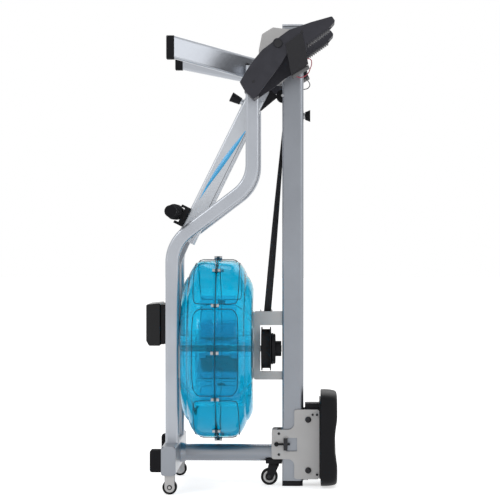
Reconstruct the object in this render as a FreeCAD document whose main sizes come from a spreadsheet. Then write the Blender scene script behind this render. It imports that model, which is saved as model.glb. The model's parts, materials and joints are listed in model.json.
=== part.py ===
import FreeCAD, Part
import math
import os
import re
import Sketcher

# Water rowing machine, standing upright for storage, in millimetres.
# X runs from the floor side in use to the upper side in use, Z is up, and Y runs away from the viewer.

SIZES = {
    # Rail
    "rail_left": 114.0, "rail_deep": 60.0, "rail_wide": 70.0, "rail_top": 1297.0, "rail_wall": 3.0,
    "rail_round": 11.0, "rail_cap": 15.0, "top_cap": 3.0, "slot_wide": 30.0, "slot_low": 915.0,
    "slot_high": 1134.0,
    # Foot axle, which is also the hinge of the mast
    "axle_x": 105.0, "axle_z": 1231.0, "axle_radius": 7.0, "axle_half": 257.0, "run_fit": 0.06,
    "plate_gap": 8.0, "plate_thick": 6.0, "nut_radius": 11.0, "nut_thick": 6.0,
    # Front legs
    "leg_wide": 36.0, "leg_tall": 61.0, "leg_end_x": -180.0, "leg_end_y": 200.0, "leg_end_z": 1225.0,
    "leg_root_x": 50.0, "leg_root_y": 67.6, "leg_root_z": 1170.0, "leg_round": 7.0, "leg_cap": 22.0,
    "tube_wall": 2.5,
    # Bent frame tubes
    "tube_wide": 37.0, "tube_y": 130.0, "tube_top_x": 32.0, "tube_bend_z": 854.0, "tube_low_x": -191.0,
    "tube_knee_z": 685.0, "tube_round": 7.0, "bend_radius": 105.0, "tube_top_z": 1180.0,
    # Base
    "base_x": -194.0, "base_deep": 40.0, "base_tall": 80.0, "base_z": 92.0, "base_half": 252.0,
    "base_round": 6.0, "end_plate": 6.0, "end_bevel": 8.0, "foot_deep": 31.0, "foot_tall": 61.0,
    "foot_wide": 40.0, "foot_in": 16.0, "upright_radius": 24.0, "collar_radius": 29.0,
    "collar_long": 14.0,
    # Water tank
    "tank_x": -68.0, "tank_z": 387.0, "tank_radius": 252.0, "tank_half": 101.0, "tank_shoulder": 67.0,
    "face_step": 75.0, "shoulder_round": 42.0, "face_round": 18.0, "tank_wall": 5.0,
    "flange_over": 7.0, "flange_half": 4.0, "gasket_half": 1.0, "bolt_count": 12.0,
    "bolt_radius": 3.0, "bolt_half": 11.0, "bolt_over": 5.4, "water_level": 430.0,
    "water_gap": 0.3, "shaft_radius": 9.0, "hub_radius": 34.0, "hub_half": 34.0,
    "blade_radius": 150.0, "blade_half": 52.0, "blade_thick": 5.0, "blade_count": 6.0,
    "bearing_radius": 20.0, "bearing_long": 12.0, "plug_radius": 17.0, "plug_long": 12.0,
    "pad_tall": 90.0,
    # Strap spool and its bracket
    "frame_low": 300.0, "frame_high": 493.0, "frame_bar": 39.0, "frame_side": 17.0, "frame_sill": 22.0,
    "frame_wide": 46.0, "spool_low": 55.0, "spool_high": 81.5, "spool_radius": 62.0, "rim_thick": 2.5,
    "drum_clear": 1.2, "drum_radius": 37.0, "nose_radius": 22.0, "strap_wide": 21.0,
    "strap_thick": 2.4, "pulley_x": 115.0, "pulley_z": 1103.0, "pulley_radius": 18.5,
    "pulley_core": 9.0, "pulley_wide": 27.0, "pin_radius": 4.0,
    # Console mast, measured from the foot axle along the mast
    "mast_lean": 26.3, "mast_deep": 55.0, "mast_wide": 40.0, "mast_start": 150.0, "mast_end": 600.0,
    "mast_round": 6.0, "arm_inner": 36.0, "arm_thick": 6.0, "arm_wide": 44.0, "yoke_start": 116.0,
    "pin_place": 176.0, "pin_knob_radius": 14.0, "pin_knob_long": 30.0, "pin_stem": 7.0,
    "handle_place": 540.0, "handle_out": 63.0, "handle_half": 218.0, "bar_radius": 10.0,
    "grip_radius": 16.5, "grip_start": 55.0, "hub_grip_radius": 21.5, "rest_thick": 13.7,
    "rest_half": 30.0, "rest_lip": 12.0, "seat_gap": 0.3, "neck_left": -200.0, "neck_deep": 24.0, "neck_wide": 24.0,
    "neck_low": 438.0, "neck_drop": 62.0,
    # Monitor
    "screen_x": -267.0, "front_deep": 40.0, "back_deep": 15.0, "box_low": 398.5, "box_tall": 120.0,
    "box_wide": 180.0, "box_round": 9.0, "tilt_x": -188.0, "tilt_z": 458.0, "tilt_radius": 4.0,
    "button_count": 2.0, "button_radius": 5.0,
    # Pedals
    "pedal_end": 4.5, "pedal_wide": 102.0, "pedal_long": 310.0, "plate_long": 170.0,
    "stub_low": 18.0, "stub_tall": 24.0,
    # Seat and carriage
    "cheek_gap": 5.0, "cheek_thick": 5.0, "cheek_right": 218.7, "roller_radius": 13.0,
    "roller_high_z": 189.0, "roller_low_z": 45.7, "under_radius": 9.0, "under_high_z": 149.0,
    "under_low_z": 90.0, "lock_z": 119.6, "lock_ball": 6.5, "lock_ball_x": 98.0, "pan_thick": 3.0, "seat_low": 2.5, "seat_high": 269.0,
    "seat_wide": 250.0, "seat_thick": 48.0, "dip_radius": 190.0, "dip_deep": 9.0, "roller_gap": 0.3, "bolt_head": 8.4,
    # Storage casters
    "wheel_radius": 20.0, "wheel_wide": 20.0, "wheel_in": 14.0, "fork_thick": 3.0, "fork_deep": 27.0,
    "swivel_x": 90.0, "swivel_trail": 13.0, "castor_radius": 24.0, "castor_wide": 19.0,
    # Leads
    "lead_radius": 1.3,
    # Pull knobs
    "rail_knob_z": 1047.0, "knob_pin": 4.0, "knob_fit": 0.1,
}

doc = FreeCAD.newDocument("rowing_machine")
sheet = doc.addObject("Spreadsheet::Sheet", "Sizes")
for row_number, (size_name, size_value) in enumerate(SIZES.items(), start=1):
    sheet.set("A%d" % row_number, size_name)
    sheet.set("B%d" % row_number, "%g" % size_value)
    sheet.setAlias("B%d" % row_number, size_name)
doc.recompute()

NODES = []
V = FreeCAD.Vector
MAST_FRAME = (V(SIZES["axle_x"], 0, SIZES["axle_z"]), FreeCAD.Rotation(V(0, 1, 0), SIZES["mast_lean"]))


def size(name):
    return float(sheet.get(name))


def bound(text):
    """The text of an expression with each size named in the sheet."""
    return re.sub(r"[a-z]+(?:_[a-z]+)*", named, str(text))


def named(match):
    word = match.group(0)
    return "Sizes." + word if word in SIZES else word


def number(text):
    found = sheet.evalExpression(bound(text))
    return float(getattr(found, "Value", found))


def keep(obj, label, frame=None):
    """Names a finished sub-part, sets its place and lists it for export."""
    if frame is not None:
        obj = group(obj)
        obj.Placement = FreeCAD.Placement(frame[0], frame[1])
    obj.Label = label
    NODES.append(obj)
    return obj


def sketch(body, plane, points, offset):
    """A closed outline of straight lines whose corners are bound to the sheet."""
    flat = body.newObject("Sketcher::SketchObject", "Outline")
    role = plane + "_Plane"
    base = [feature for feature in body.Origin.OriginFeatures if feature.Role == role][0]
    flat.AttachmentSupport = [(base, "")]
    flat.MapMode = "FlatFace"
    flat.setExpression(".AttachmentOffset.Base.z", bound(offset))
    places = [(number(point[0]), number(point[1])) for point in points]
    count = len(points)
    for index in range(count):
        start = V(places[index][0], places[index][1], 0)
        end = V(places[(index + 1) % count][0], places[(index + 1) % count][1], 0)
        flat.addGeometry(Part.LineSegment(start, end), False)
    for index in range(count):
        flat.addConstraint(Sketcher.Constraint("Coincident", index, 2, (index + 1) % count, 1))
    for index in range(count):
        for axis, kind in enumerate(("DistanceX", "DistanceY")):
            rule = Sketcher.Constraint(kind, -1, 1, index, 1, places[index][axis])
            placed = flat.addConstraint(rule)
            name = "%s%d" % (kind, index)
            flat.renameConstraint(placed, name)
            flat.setExpression("Constraints." + name, bound(points[index][axis]))
    return flat


def long_edges(shape, normal, wanted=None):
    """Names of the straight edges along the normal, or only those through the wanted corners."""
    found = []
    for index, edge in enumerate(shape.Edges):
        ends = [vertex.Point for vertex in edge.Vertexes]
        if len(ends) < 2:
            continue
        run = ends[1] - ends[0]
        if run.Length < 0.01 or abs(abs(run.dot(normal)) / run.Length - 1) > 1e-4:
            continue
        if wanted is not None and not any(flat_gap(ends[0], corner, normal) < 0.05 for corner in wanted):
            continue
        found.append("Edge%d" % (index + 1))
    return found


def flat_gap(point, corner, normal):
    gap = point - corner
    return (gap - normal * gap.dot(normal)).Length


PLANES = {
    "XY": (V(1, 0, 0), V(0, 1, 0), V(0, 0, 1)),
    "XZ": (V(1, 0, 0), V(0, 0, 1), V(0, -1, 0)),
    "YZ": (V(0, 1, 0), V(0, 0, 1), V(1, 0, 0)),
}


def prism(plane, points, low, high, rounds=None, edge=None):
    """A body padded from an outline between two heights along the plane's third axis.

    rounds gives a radius for chosen corners as {radius: [corner numbers]}, or for all as {radius: None}.
    edge is the small radius of the two end faces.
    """
    body = doc.addObject("PartDesign::Body", "Piece")
    offset = "-(" + str(high) + ")" if plane == "XZ" else low
    flat = sketch(body, plane, points, offset)
    pad = body.newObject("PartDesign::Pad", "Pad")
    pad.Profile = flat
    pad.setExpression("Length", bound("(%s) - (%s)" % (high, low)))
    flat.Visibility = False
    doc.recompute()
    across, along, normal = PLANES[plane]
    last = pad
    for radius, corners in (rounds or {}).items():
        wanted = None
        if corners is not None:
            wanted = [across * number(points[i][0]) + along * number(points[i][1]) for i in corners]
        fillet = body.newObject("PartDesign::Fillet", "Round")
        fillet.Base = (last, long_edges(last.Shape, normal, wanted))
        fillet.setExpression("Radius", bound(radius))
        doc.recompute()
        last = fillet
    if edge is not None:
        names = []
        for index, line in enumerate(last.Shape.Edges):
            span = [vertex.Point.dot(normal) for vertex in line.Vertexes]
            if max(span) - min(span) < 0.001:
                names.append("Edge%d" % (index + 1))
        fillet = body.newObject("PartDesign::Fillet", "Edge")
        fillet.Base = (last, names)
        fillet.setExpression("Radius", bound(edge))
        doc.recompute()
    return body


def rectangle(left, right, low, high):
    return [(left, low), (right, low), (right, high), (left, high)]


def about_axle(points, length, drawn):
    """Corners drawn about the foot axle at one length, bound to the named length that they follow."""
    return [("axle_x + (%g) * %s / %g" % (float(x) - 105, length, drawn),
             "axle_z + (%g) * %s / %g" % (float(z) - 1231, length, drawn)) for x, z in points]


def box(x, y, z):
    """A plain block between three pairs of bounds."""
    block = doc.addObject("Part::Box", "Block")
    for side, pair in (("Length", x), ("Width", y), ("Height", z)):
        block.setExpression(side, bound("(%s) - (%s)" % (pair[1], pair[0])))
    for axis, pair in (("x", x), ("y", y), ("z", z)):
        block.setExpression(".Placement.Base." + axis, bound(pair[0]))
    return block


def rod(axis, centre, low, high, radius, top_radius=None):
    """A cylinder, or a cone with a second radius, along an axis between two bounds."""
    kind = "Part::Cylinder" if top_radius is None else "Part::Cone"
    bar = doc.addObject(kind, "Rod")
    if top_radius is None:
        bar.setExpression("Radius", bound(radius))
    else:
        bar.setExpression("Radius1", bound(radius))
        bar.setExpression("Radius2", bound(top_radius))
    bar.setExpression("Height", bound("(%s) - (%s)" % (high, low)))
    turns = {"X": (V(0, 1, 0), 90), "Y": (V(1, 0, 0), -90), "Z": (V(0, 0, 1), 0)}
    bar.Placement.Rotation = FreeCAD.Rotation(*turns[axis])
    order = {"X": (low, centre[0], centre[1]), "Y": (centre[0], low, centre[1]),
             "Z": (centre[0], centre[1], low)}
    for letter, text in zip("xyz", order[axis]):
        bar.setExpression(".Placement.Base." + letter, bound(text))
    return bar


def join(*pieces):
    if len(pieces) == 1:
        return pieces[0]
    both = doc.addObject("Part::MultiFuse", "Joined")
    both.Shapes = list(pieces)
    return both


def cut(base, *tools):
    result = doc.addObject("Part::Cut", "Cut")
    result.Base = base
    result.Tool = join(*tools)
    return result


def group(*pieces):
    """Separate solids that share one node."""
    both = doc.addObject("Part::Compound", "Group")
    both.Links = list(pieces)
    return both


def both_sides(inner, outer):
    return [("-(%s)" % outer, "-(%s)" % inner), (inner, outer)]


def solid(shape):
    """An object that holds a shape built from the sheet's values by formula."""
    piece = doc.addObject("Part::Feature", "Formed")
    piece.Shape = shape
    return piece


def formed(label, shape):
    return keep(solid(shape), label)


def rounded_path(points, radii):
    """Edges of an open path through points, with a tangent arc at each inner corner."""
    edges = []
    start = points[0]
    for index in range(1, len(points) - 1):
        corner = points[index]
        back = (points[index - 1] - corner).normalize()
        ahead = (points[index + 1] - corner).normalize()
        half_turn = (math.pi - back.getAngle(ahead)) / 2
        radius = radii[index - 1] if isinstance(radii, list) else radii
        reach = radius * math.tan(half_turn)
        first = corner + back * reach
        last = corner + ahead * reach
        middle_way = (back + ahead).normalize()
        middle = corner + middle_way * (radius / math.cos(half_turn) - radius)
        edges.append(Part.LineSegment(start, first).toShape())
        edges.append(Part.Arc(first, middle, last).toShape())
        start = last
    edges.append(Part.LineSegment(start, points[-1]).toShape())
    return edges


def rounded_loop(points, radius):
    """A closed outline with a tangent arc at each corner."""
    middle = (points[0] + points[-1]) * 0.5
    edges = rounded_path([middle] + points + [middle], radius)
    return Part.Wire(edges)


# Rail with its caps, stop and pulley slot
def make_rail():
    left = "rail_left"
    right = "rail_left + rail_deep"
    outline = rectangle(left, right, "-rail_wide/2", "rail_wide/2")
    outer = prism("XY", outline, "rail_cap", "rail_top", {"rail_round": [1, 2], "rail_round/2": [0, 3]})
    inside = rectangle(left + " + rail_wall", right + " - rail_wall", "-rail_wide/2 + rail_wall",
                       "rail_wide/2 - rail_wall")
    inner = prism("XY", inside, "rail_cap - 1", "rail_top + 1", {"rail_round - rail_wall": [1, 2]})
    slot = box(("rail_left - 1", "rail_left + rail_wall + 1"), ("-slot_wide/2", "slot_wide/2"),
               ("slot_low", "slot_high"))
    pin = rod("Y", ("pulley_x", "pulley_z"), "-rail_wide", "rail_wide", "pin_radius + run_fit")
    knob_hole = rod("X", ("0", "rail_knob_z"), right + " - rail_wall - 1", right + " + 1",
                    "knob_pin + knob_fit")
    keep(cut(outer, inner, slot, pin, knob_hole), "rail")
    end_outline = rectangle(left, right + " - 2", "-rail_wide/2", "rail_wide/2")
    end_cap = prism("XY", end_outline, "0", "rail_cap", {"rail_round": [1, 2], "rail_round/2": [0, 3]})
    top_cap = prism("XY", outline, "rail_top", "rail_top + top_cap",
                    {"rail_round": [1, 2], "rail_round/2": [0, 3]})
    keep(group(end_cap, top_cap), "rail_caps")
    stop = prism("XY", rectangle(right, right + " + 13", "-20", "20"), "rail_cap + 0.5",
                 "rail_cap + 8.5", {"3": [1, 2]})
    collar = cut(rod("X", ("0", "rail_knob_z"), right, right + " + 4", "9"),
                 rod("X", ("0", "rail_knob_z"), right + " - 1", right + " + 9", "knob_pin + knob_fit"))
    axle = rod("Y", ("pulley_x", "pulley_z"), "-rail_wide/2 - 2", "rail_wide/2 + 2", "pin_radius")
    keep(group(stop, collar, axle), "rail_fittings")


# Head plates, their spacers, the foot axle and its nuts
def make_head():
    outline = [("48", "1140"), ("48", "1230"), ("57", "1275"), ("88", "1294"), ("112", "1291"),
               ("160", "1287"), ("165", "1192"), ("112", "1136")]
    plates = []
    for low, high in both_sides("rail_wide/2 + plate_gap", "rail_wide/2 + plate_gap + plate_thick"):
        plates.append(prism("XZ", about_axle(outline, "plate_long", 170), low, high, {"5": None}))
    hole = rod("Y", ("axle_x", "axle_z"), "-axle_half", "axle_half", "axle_radius")
    plates = cut(group(*plates), hole)
    spacers = []
    for low, high in both_sides("rail_wide/2", "rail_wide/2 + plate_gap"):
        spacers.append(prism("XZ", about_axle(rectangle(126, 158, 1186, 1206), "plate_long", 170), low, high,
                             {"4": None}))
    keep(group(plates, *spacers, head_stubs()), "head_plates")
    axle = rod("Y", ("axle_x", "axle_z"), "-axle_half", "axle_half", "axle_radius")
    nuts = []
    for low, high in both_sides("axle_half - nut_thick", "axle_half"):
        blank = rod("Y", ("axle_x", "axle_z"), low, high, "nut_radius")
        nuts.append(cut(blank, rod("Y", ("axle_x", "axle_z"), "-axle_half - 1", "axle_half + 1",
                                   "axle_radius")))
    keep(group(axle, *nuts), "foot_axle")


def leg_section(x, y, z, inset):
    """Corners of a leg's section in a plane across X, for one side."""
    half_wide = size("leg_wide") / 2 - inset
    half_tall = size("leg_tall") / 2 / math.cos(math.radians(13.4)) - inset
    corners = [V(x, y - half_wide, z - half_tall), V(x, y + half_wide, z - half_tall),
               V(x, y + half_wide, z + half_tall), V(x, y - half_wide, z + half_tall)]
    return rounded_loop(corners, max(size("leg_round") - inset, 1.0))


# Front legs, splayed from the head plates, and their floor caps
def make_legs():
    wall = size("tube_wall")
    caps = []
    for side, label in ((-1, "front_leg_near"), (1, "front_leg_far")):
        walls = []
        for inset in (0.0, wall):
            root = leg_section(size("leg_root_x"), side * size("leg_root_y"), size("leg_root_z"), inset)
            end = leg_section(size("leg_end_x"), side * size("leg_end_y"), size("leg_end_z"), inset)
            walls.append(Part.makeLoft([root, end], True, True))
        formed(label, walls[0].cut(walls[1]))
        y_low = "%d * leg_end_y - leg_wide/2 - 1" % side
        y_high = "%d * leg_end_y + leg_wide/2 + 1" % side
        outline = rectangle(y_low, y_high, "leg_end_z - leg_tall/2 - 2", "leg_end_z + leg_tall/2 + 2")
        caps.append(prism("YZ", outline, "leg_end_x - leg_cap", "leg_end_x", {"leg_round": None}, "2"))
    return caps


def tube_shape(side, inset):
    """One bent frame tube, swept along its path with a rounded square section."""
    y = side * size("tube_y")
    top = size("tube_top_z")
    foot = size("base_z") + size("base_tall") / 2
    path = [V(size("tube_low_x"), y, foot), V(size("tube_low_x"), y, size("tube_knee_z")),
            V(size("tube_top_x"), y, size("tube_bend_z")), V(size("tube_top_x"), y, top)]
    spine = Part.Wire(rounded_path(path, size("bend_radius")))
    half = size("tube_wide") / 2 - inset
    x = size("tube_low_x")
    corners = [V(x - half, y - half, foot), V(x + half, y - half, foot), V(x + half, y + half, foot),
               V(x - half, y + half, foot)]
    section = rounded_loop(corners, max(size("tube_round") - inset, 1.0))
    return spine.makePipeShell([section], True, True)


# Bent frame tubes
def make_tubes():
    for side, label in ((-1, "frame_tube_near"), (1, "frame_tube_far")):
        formed(label, tube_shape(side, 0.0).cut(tube_shape(side, size("tube_wall"))))


# Stubs that tie the tops of the bent tubes to the legs
def head_stubs():
    stubs = []
    for side in (-1, 1):
        reach = size("leg_root_x") - size("tube_top_x")
        splay = (size("leg_end_y") - size("leg_root_y")) / (size("leg_root_x") - size("leg_end_x"))
        leg_outer = size("leg_root_y") + reach * splay + size("leg_wide") / 2
        inner = leg_outer + 6 * splay
        outer = size("tube_y") - size("tube_wide") / 2
        x = size("tube_top_x")
        low = size("leg_root_z") - size("stub_low")
        corners = [V(x - 8, side * (inner + 2), low), V(x + 8, side * (inner - 6.5), low),
                   V(x + 8, side * outer, low), V(x - 8, side * outer, low)]
        loop = Part.makePolygon(corners + [corners[0]])
        stubs.append(Part.Face(loop).extrude(V(0, 0, size("stub_tall"))))
    return solid(Part.makeCompound(stubs))


# Base bar, end plates, rear feet and the tube that carries the rail's foot
def make_base(leg_caps):
    outline = rectangle("base_x - base_deep/2", "base_x + base_deep/2", "base_z - base_tall/2",
                        "base_z + base_tall/2")
    bar = prism("XZ", outline, "-base_half", "base_half", {"base_round": None})
    inner = box(("base_x - base_deep/2 + tube_wall", "base_x + base_deep/2 - tube_wall"),
                ("-base_half - 1", "base_half + 1"),
                ("base_z - base_tall/2 + tube_wall", "base_z + base_tall/2 - tube_wall"))
    bar = cut(bar, inner)
    left = "base_x - base_deep/2"
    right = "base_x + base_deep/2"
    low = "base_z - base_tall/2"
    high = "base_z + base_tall/2"
    octagon = [(left + " + end_bevel", low), (right + " - end_bevel", low),
               (right, low + " + end_bevel"), (right, high + " - end_bevel"),
               (right + " - end_bevel", high), (left + " + end_bevel", high),
               (left, high + " - end_bevel"), (left, low + " + end_bevel")]
    plates = [prism("XZ", octagon, *pair) for pair in both_sides("base_half", "base_half + end_plate")]
    keep(group(bar, *plates), "base_bar")
    feet = list(leg_caps)
    for pair in both_sides("base_half - foot_in - foot_wide/2", "base_half - foot_in + foot_wide/2"):
        foot = rectangle(left + " - foot_deep", left, "base_z - foot_tall/2", "base_z + foot_tall/2")
        feet.append(prism("XZ", foot, pair[0], pair[1], {"7": [0, 3]}, "1.5"))
    keep(group(*feet), "floor_feet")
    outer = rod("X", ("0", "base_z"), right, "rail_left", "upright_radius")
    bore = rod("X", ("0", "base_z"), right + " - 1", "rail_left + 1", "upright_radius - tube_wall")
    tube = cut(outer, bore)
    ring = rod("X", ("0", "base_z"), right, right + " + collar_long", "collar_radius",
               "upright_radius + 1")
    collar = cut(ring, rod("X", ("0", "base_z"), right + " - 1", right + " + collar_long + 1",
                           "upright_radius"))
    keep(group(tube, collar), "rear_upright")


def tank_half(inset, start):
    """One half of the tank's round form, from the seam to its flat face, with its far end at +X."""
    radius = size("tank_radius") - inset
    face = size("tank_half") - inset
    slope = size("face_step") / (size("tank_half") - size("tank_shoulder"))
    slant = inset * (math.sqrt(1 + slope * slope) - 1) / slope
    shoulder = size("tank_shoulder") - slant
    rim = size("tank_radius") - size("face_step") - (inset * (math.sqrt(1 + slope * slope) - slope))
    centre = V(start, 0, 0)
    profile = [centre, V(start, 0, radius), V(shoulder, 0, radius), V(face, 0, rim), V(face, 0, 0)]
    tight = [max(size("shoulder_round") - inset, 1.0), max(size("face_round") - inset, 1.0)]
    edges = rounded_path(profile[1:], tight)
    edges.append(Part.LineSegment(profile[4], profile[0]).toShape())
    edges.append(Part.LineSegment(profile[0], profile[1]).toShape())
    return Part.Face(Part.Wire(edges)).revolve(V(0, 0, 0), V(1, 0, 0), 360)


def tank_place(shape, side):
    """A half of the tank turned to its side and moved to the tank's centre."""
    if side < 0:
        shape = shape.mirror(V(0, 0, 0), V(1, 0, 0))
    shape.translate(V(size("tank_x"), 0, size("tank_z")))
    return shape


# Tank shells, gasket, bolts, water and filler plug
def make_tank():
    gap = size("gasket_half")
    bolt_ring = size("tank_radius") + size("bolt_over")
    hole = Part.makeCylinder(size("bearing_radius"), 60, V(size("tank_half") - 30, 0, 0), V(1, 0, 0))
    for side, label in ((-1, "tank_shell_left"), (1, "tank_shell_right")):
        shell = tank_half(0.0, gap)
        ring = Part.makeCylinder((size("tank_radius") + size("flange_over")), size("flange_half") - gap, V(gap, 0, 0), V(1, 0, 0))
        shell = shell.fuse(ring).cut(tank_half(size("tank_wall"), gap - 1))
        for index in range(int(size("bolt_count"))):
            angle = math.radians(360.0 / size("bolt_count") * index)
            lobe = Part.makeCylinder(size("bolt_radius") + 3, size("flange_half") - gap,
                                     V(gap, bolt_ring * math.cos(angle),
                                       bolt_ring * math.sin(angle)), V(1, 0, 0))
            shell = shell.fuse(lobe.cut(tank_half(size("tank_wall"), gap - 1)))
        for index in range(int(size("bolt_count"))):
            angle = math.radians(360.0 / size("bolt_count") * index)
            shell = shell.cut(Part.makeCylinder(size("bolt_radius"), 60,
                                                V(-10, bolt_ring * math.cos(angle),
                                                  bolt_ring * math.sin(angle)), V(1, 0, 0)))
        if side > 0:
            shell = shell.cut(hole)
        shell = shell.removeSplitter()
        placed = solid(tank_place(shell, side))
        if side < 0:
            plug = rod("X", ("tank_radius * 0.246", "tank_z + tank_radius * 0.476"), "tank_x - tank_half - plug_long",
                       "tank_x - tank_half", "plug_radius - 3", "plug_radius")
            placed = group(placed, plug)
        keep(placed, label)
    inner = size("tank_radius") - size("tank_wall")
    gasket = Part.makeCylinder(size("tank_radius") + 1, 2 * gap, V(-gap, 0, 0), V(1, 0, 0))
    gasket = gasket.cut(Part.makeCylinder(inner, 2 * gap + 2, V(-gap - 1, 0, 0), V(1, 0, 0)))
    formed("tank_gasket", tank_place(gasket, 1))
    bolts = []
    for index in range(int(size("bolt_count"))):
        angle = math.radians(360.0 / size("bolt_count") * index)
        y = bolt_ring * math.cos(angle)
        z = bolt_ring * math.sin(angle)
        bolt = Part.makeCylinder(size("bolt_radius"), 2 * size("bolt_half"), V(-size("bolt_half"), y, z),
                                 V(1, 0, 0))
        for start, width in ((-size("bolt_half"), size("bolt_half") - size("flange_half")),
                             (size("flange_half"), size("bolt_half") - size("flange_half"))):
            bolt = bolt.fuse(Part.makeCylinder(size("bolt_radius") + 2, width, V(start, y, z), V(1, 0, 0)))
        bolts.append(tank_place(bolt.removeSplitter(), 1))
    formed("tank_bolts", Part.makeCompound(bolts))
    inset = size("tank_wall") + size("water_gap")
    whole = tank_half(inset, 0.0)
    whole = whole.fuse(whole.mirror(V(0, 0, 0), V(1, 0, 0))).removeSplitter()
    depth = size("water_level") - size("tank_z")
    span = 2 * size("tank_radius")
    slab = Part.makeBox(span, span, span, V(-span / 2, -span / 2, depth - span))
    swept = Part.makeCylinder(size("blade_radius") + 4, 2 * size("blade_half") + 8,
                              V(-size("blade_half") - 4, 0, 0), V(1, 0, 0))
    bore = Part.makeCylinder(size("bearing_radius") + 2, span, V(-span / 2, 0, 0), V(1, 0, 0))
    formed("water", tank_place(whole.common(slab).cut(swept).cut(bore), 1))


# Pads between the tank and the bent tubes
def tank_pads():
    pads = []
    for pair in both_sides("tube_y - tube_wide/2 + 4", "tube_y + tube_wide/2 - 4"):
        pads.append(box(("tube_low_x + tube_wide/2", "tank_x - tank_half"), pair,
                        ("tank_z - pad_tall/2 - 30", "tank_z + pad_tall/2 - 30")))
    return pads


# Impeller, shaft and bearings inside the tank
def make_impeller():
    hub = rod("X", ("0", "tank_z"), "tank_x - hub_half", "tank_x + hub_half", "hub_radius")
    blades = []
    for index in range(int(size("blade_count"))):
        blade = doc.addObject("Part::Box", "Blade")
        blade.setExpression("Length", bound("2 * blade_half"))
        blade.setExpression("Width", bound("blade_thick"))
        blade.setExpression("Height", bound("blade_radius - hub_radius + 6"))
        turn = FreeCAD.Rotation(V(1, 0, 0), 360.0 / size("blade_count") * index)
        inner = size("hub_radius") - 6
        corner = turn.multVec(V(-size("blade_half"), -size("blade_thick") / 2, inner))
        blade.Placement = FreeCAD.Placement(corner + V(size("tank_x"), 0, size("tank_z")), turn)
        blades.append(blade)
    bore = rod("X", ("0", "tank_z"), "tank_x - tank_half", "tank_x + tank_half", "shaft_radius")
    keep(cut(join(hub, *blades), bore), "impeller")
    keep(rod("X", ("0", "tank_z"), "tank_x - tank_half + tank_wall + bearing_long/2", "rail_left - 2",
             "shaft_radius"), "tank_shaft")
    inner_low = "tank_x - tank_half + tank_wall"
    rings = []
    for low, high in ((inner_low, inner_low + " + bearing_long"),
                      ("tank_x + tank_half - bearing_long", "tank_x + tank_half")):
        ring = rod("X", ("0", "tank_z"), low, high, "bearing_radius")
        rings.append(cut(ring, rod("X", ("0", "tank_z"), low + " - 1", high + " + 1",
                                   "shaft_radius + run_fit")))
    keep(group(*rings), "shaft_bearings")


# Bracket between the tank and the rail, strap spool and drum
def make_spool():
    left = "tank_x + tank_half + 0.5"
    right = "rail_left"
    outer = prism("XZ", rectangle(left, right, "frame_low", "frame_high"), "-frame_wide/2",
                  "frame_wide/2", {"6": [0, 3]})
    window = box((left + " + frame_side", right + " + 1"), ("-frame_wide", "frame_wide"),
                 ("frame_low + frame_sill", "frame_high - frame_bar"))
    bore = rod("X", ("0", "tank_z"), left + " - 1", left + " + frame_side + 1", "shaft_radius + 4")
    strap_gate = box(("spool_low - 4", "spool_high + 4"), ("-9", "9"), ("frame_high - frame_bar - 1", "frame_high + 1"))
    bracket = cut(outer, window, bore, strap_gate)
    guides = []
    for x in ("spool_low - 4", "spool_high + 1"):
        guides.append(box((x, x + " + 3"), ("-9", "9"), ("frame_high - 22", "frame_high + 5")))
    keep(group(bracket, *guides, *tank_pads()), "tank_brackets")
    core = rod("X", ("0", "tank_z"), "spool_low", "spool_high", "spool_radius - 9")
    rims = [rod("X", ("0", "tank_z"), "spool_low", "spool_low + rim_thick", "spool_radius"),
            rod("X", ("0", "tank_z"), "spool_high - rim_thick", "spool_high", "spool_radius")]
    # The seat's lower rollers pass the drum with a small clearance
    drum_high = "(rail_left - 2*under_radius - roller_gap - drum_clear)"
    bore = rod("X", ("0", "tank_z"), "spool_low - 5", drum_high + " + 20", "shaft_radius")
    spool = cut(join(core, *rims), bore)
    drum = rod("X", ("0", "tank_z"), "spool_high", drum_high, "drum_radius")
    nose = rod("X", ("0", "tank_z"), drum_high, "rail_left - 3", "nose_radius")
    bore = rod("X", ("0", "tank_z"), "spool_low - 5", drum_high + " + 20", "shaft_radius")
    keep(group(spool, cut(join(drum, nose), bore)), "strap_spool")


def strap_section(centre, along, across, half_wide, half_thick):
    """A thin rectangle across the strap at one point of its way."""
    thick = along.cross(across).normalize()
    corners = [centre + across * half_wide + thick * half_thick,
               centre - across * half_wide + thick * half_thick,
               centre - across * half_wide - thick * half_thick,
               centre + across * half_wide - thick * half_thick]
    return Part.makePolygon(corners + [corners[0]])


# Rowing strap with its quarter turn, top pulley and axle
def make_strap():
    half_wide = size("strap_wide") / 2
    half_thick = size("strap_thick") / 2
    spool_mid = (size("spool_low") + size("spool_high")) / 2
    start = V(spool_mid, 0, size("tank_z") + size("spool_radius") + 4)
    end = V(size("pulley_x") + size("pulley_core") + half_thick + 0.3, 0, size("pulley_z") - 1)
    along = (end - start).normalize()
    sections = []
    steps = 12
    for index in range(steps + 1):
        share = index / steps
        turn = math.radians(90 * share)
        across = V(math.cos(turn), math.sin(turn), 0)
        across = (across - along * across.dot(along)).normalize()
        sections.append(strap_section(start + (end - start) * share, along, across, half_wide, half_thick))
    run = Part.makeLoft(sections, True, True)
    formed("strap_run", run)
    body = join(rod("Y", ("pulley_x", "pulley_z"), "-pulley_wide/2 + rim_thick", "pulley_wide/2 - rim_thick",
                    "pulley_core"),
                rod("Y", ("pulley_x", "pulley_z"), "-pulley_wide/2", "-pulley_wide/2 + rim_thick",
                    "pulley_radius"),
                rod("Y", ("pulley_x", "pulley_z"), "pulley_wide/2 - rim_thick", "pulley_wide/2",
                    "pulley_radius"))
    bore = rod("Y", ("pulley_x", "pulley_z"), "-pulley_wide", "pulley_wide", "pin_radius + run_fit")
    keep(cut(body, bore), "top_pulley")


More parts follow.
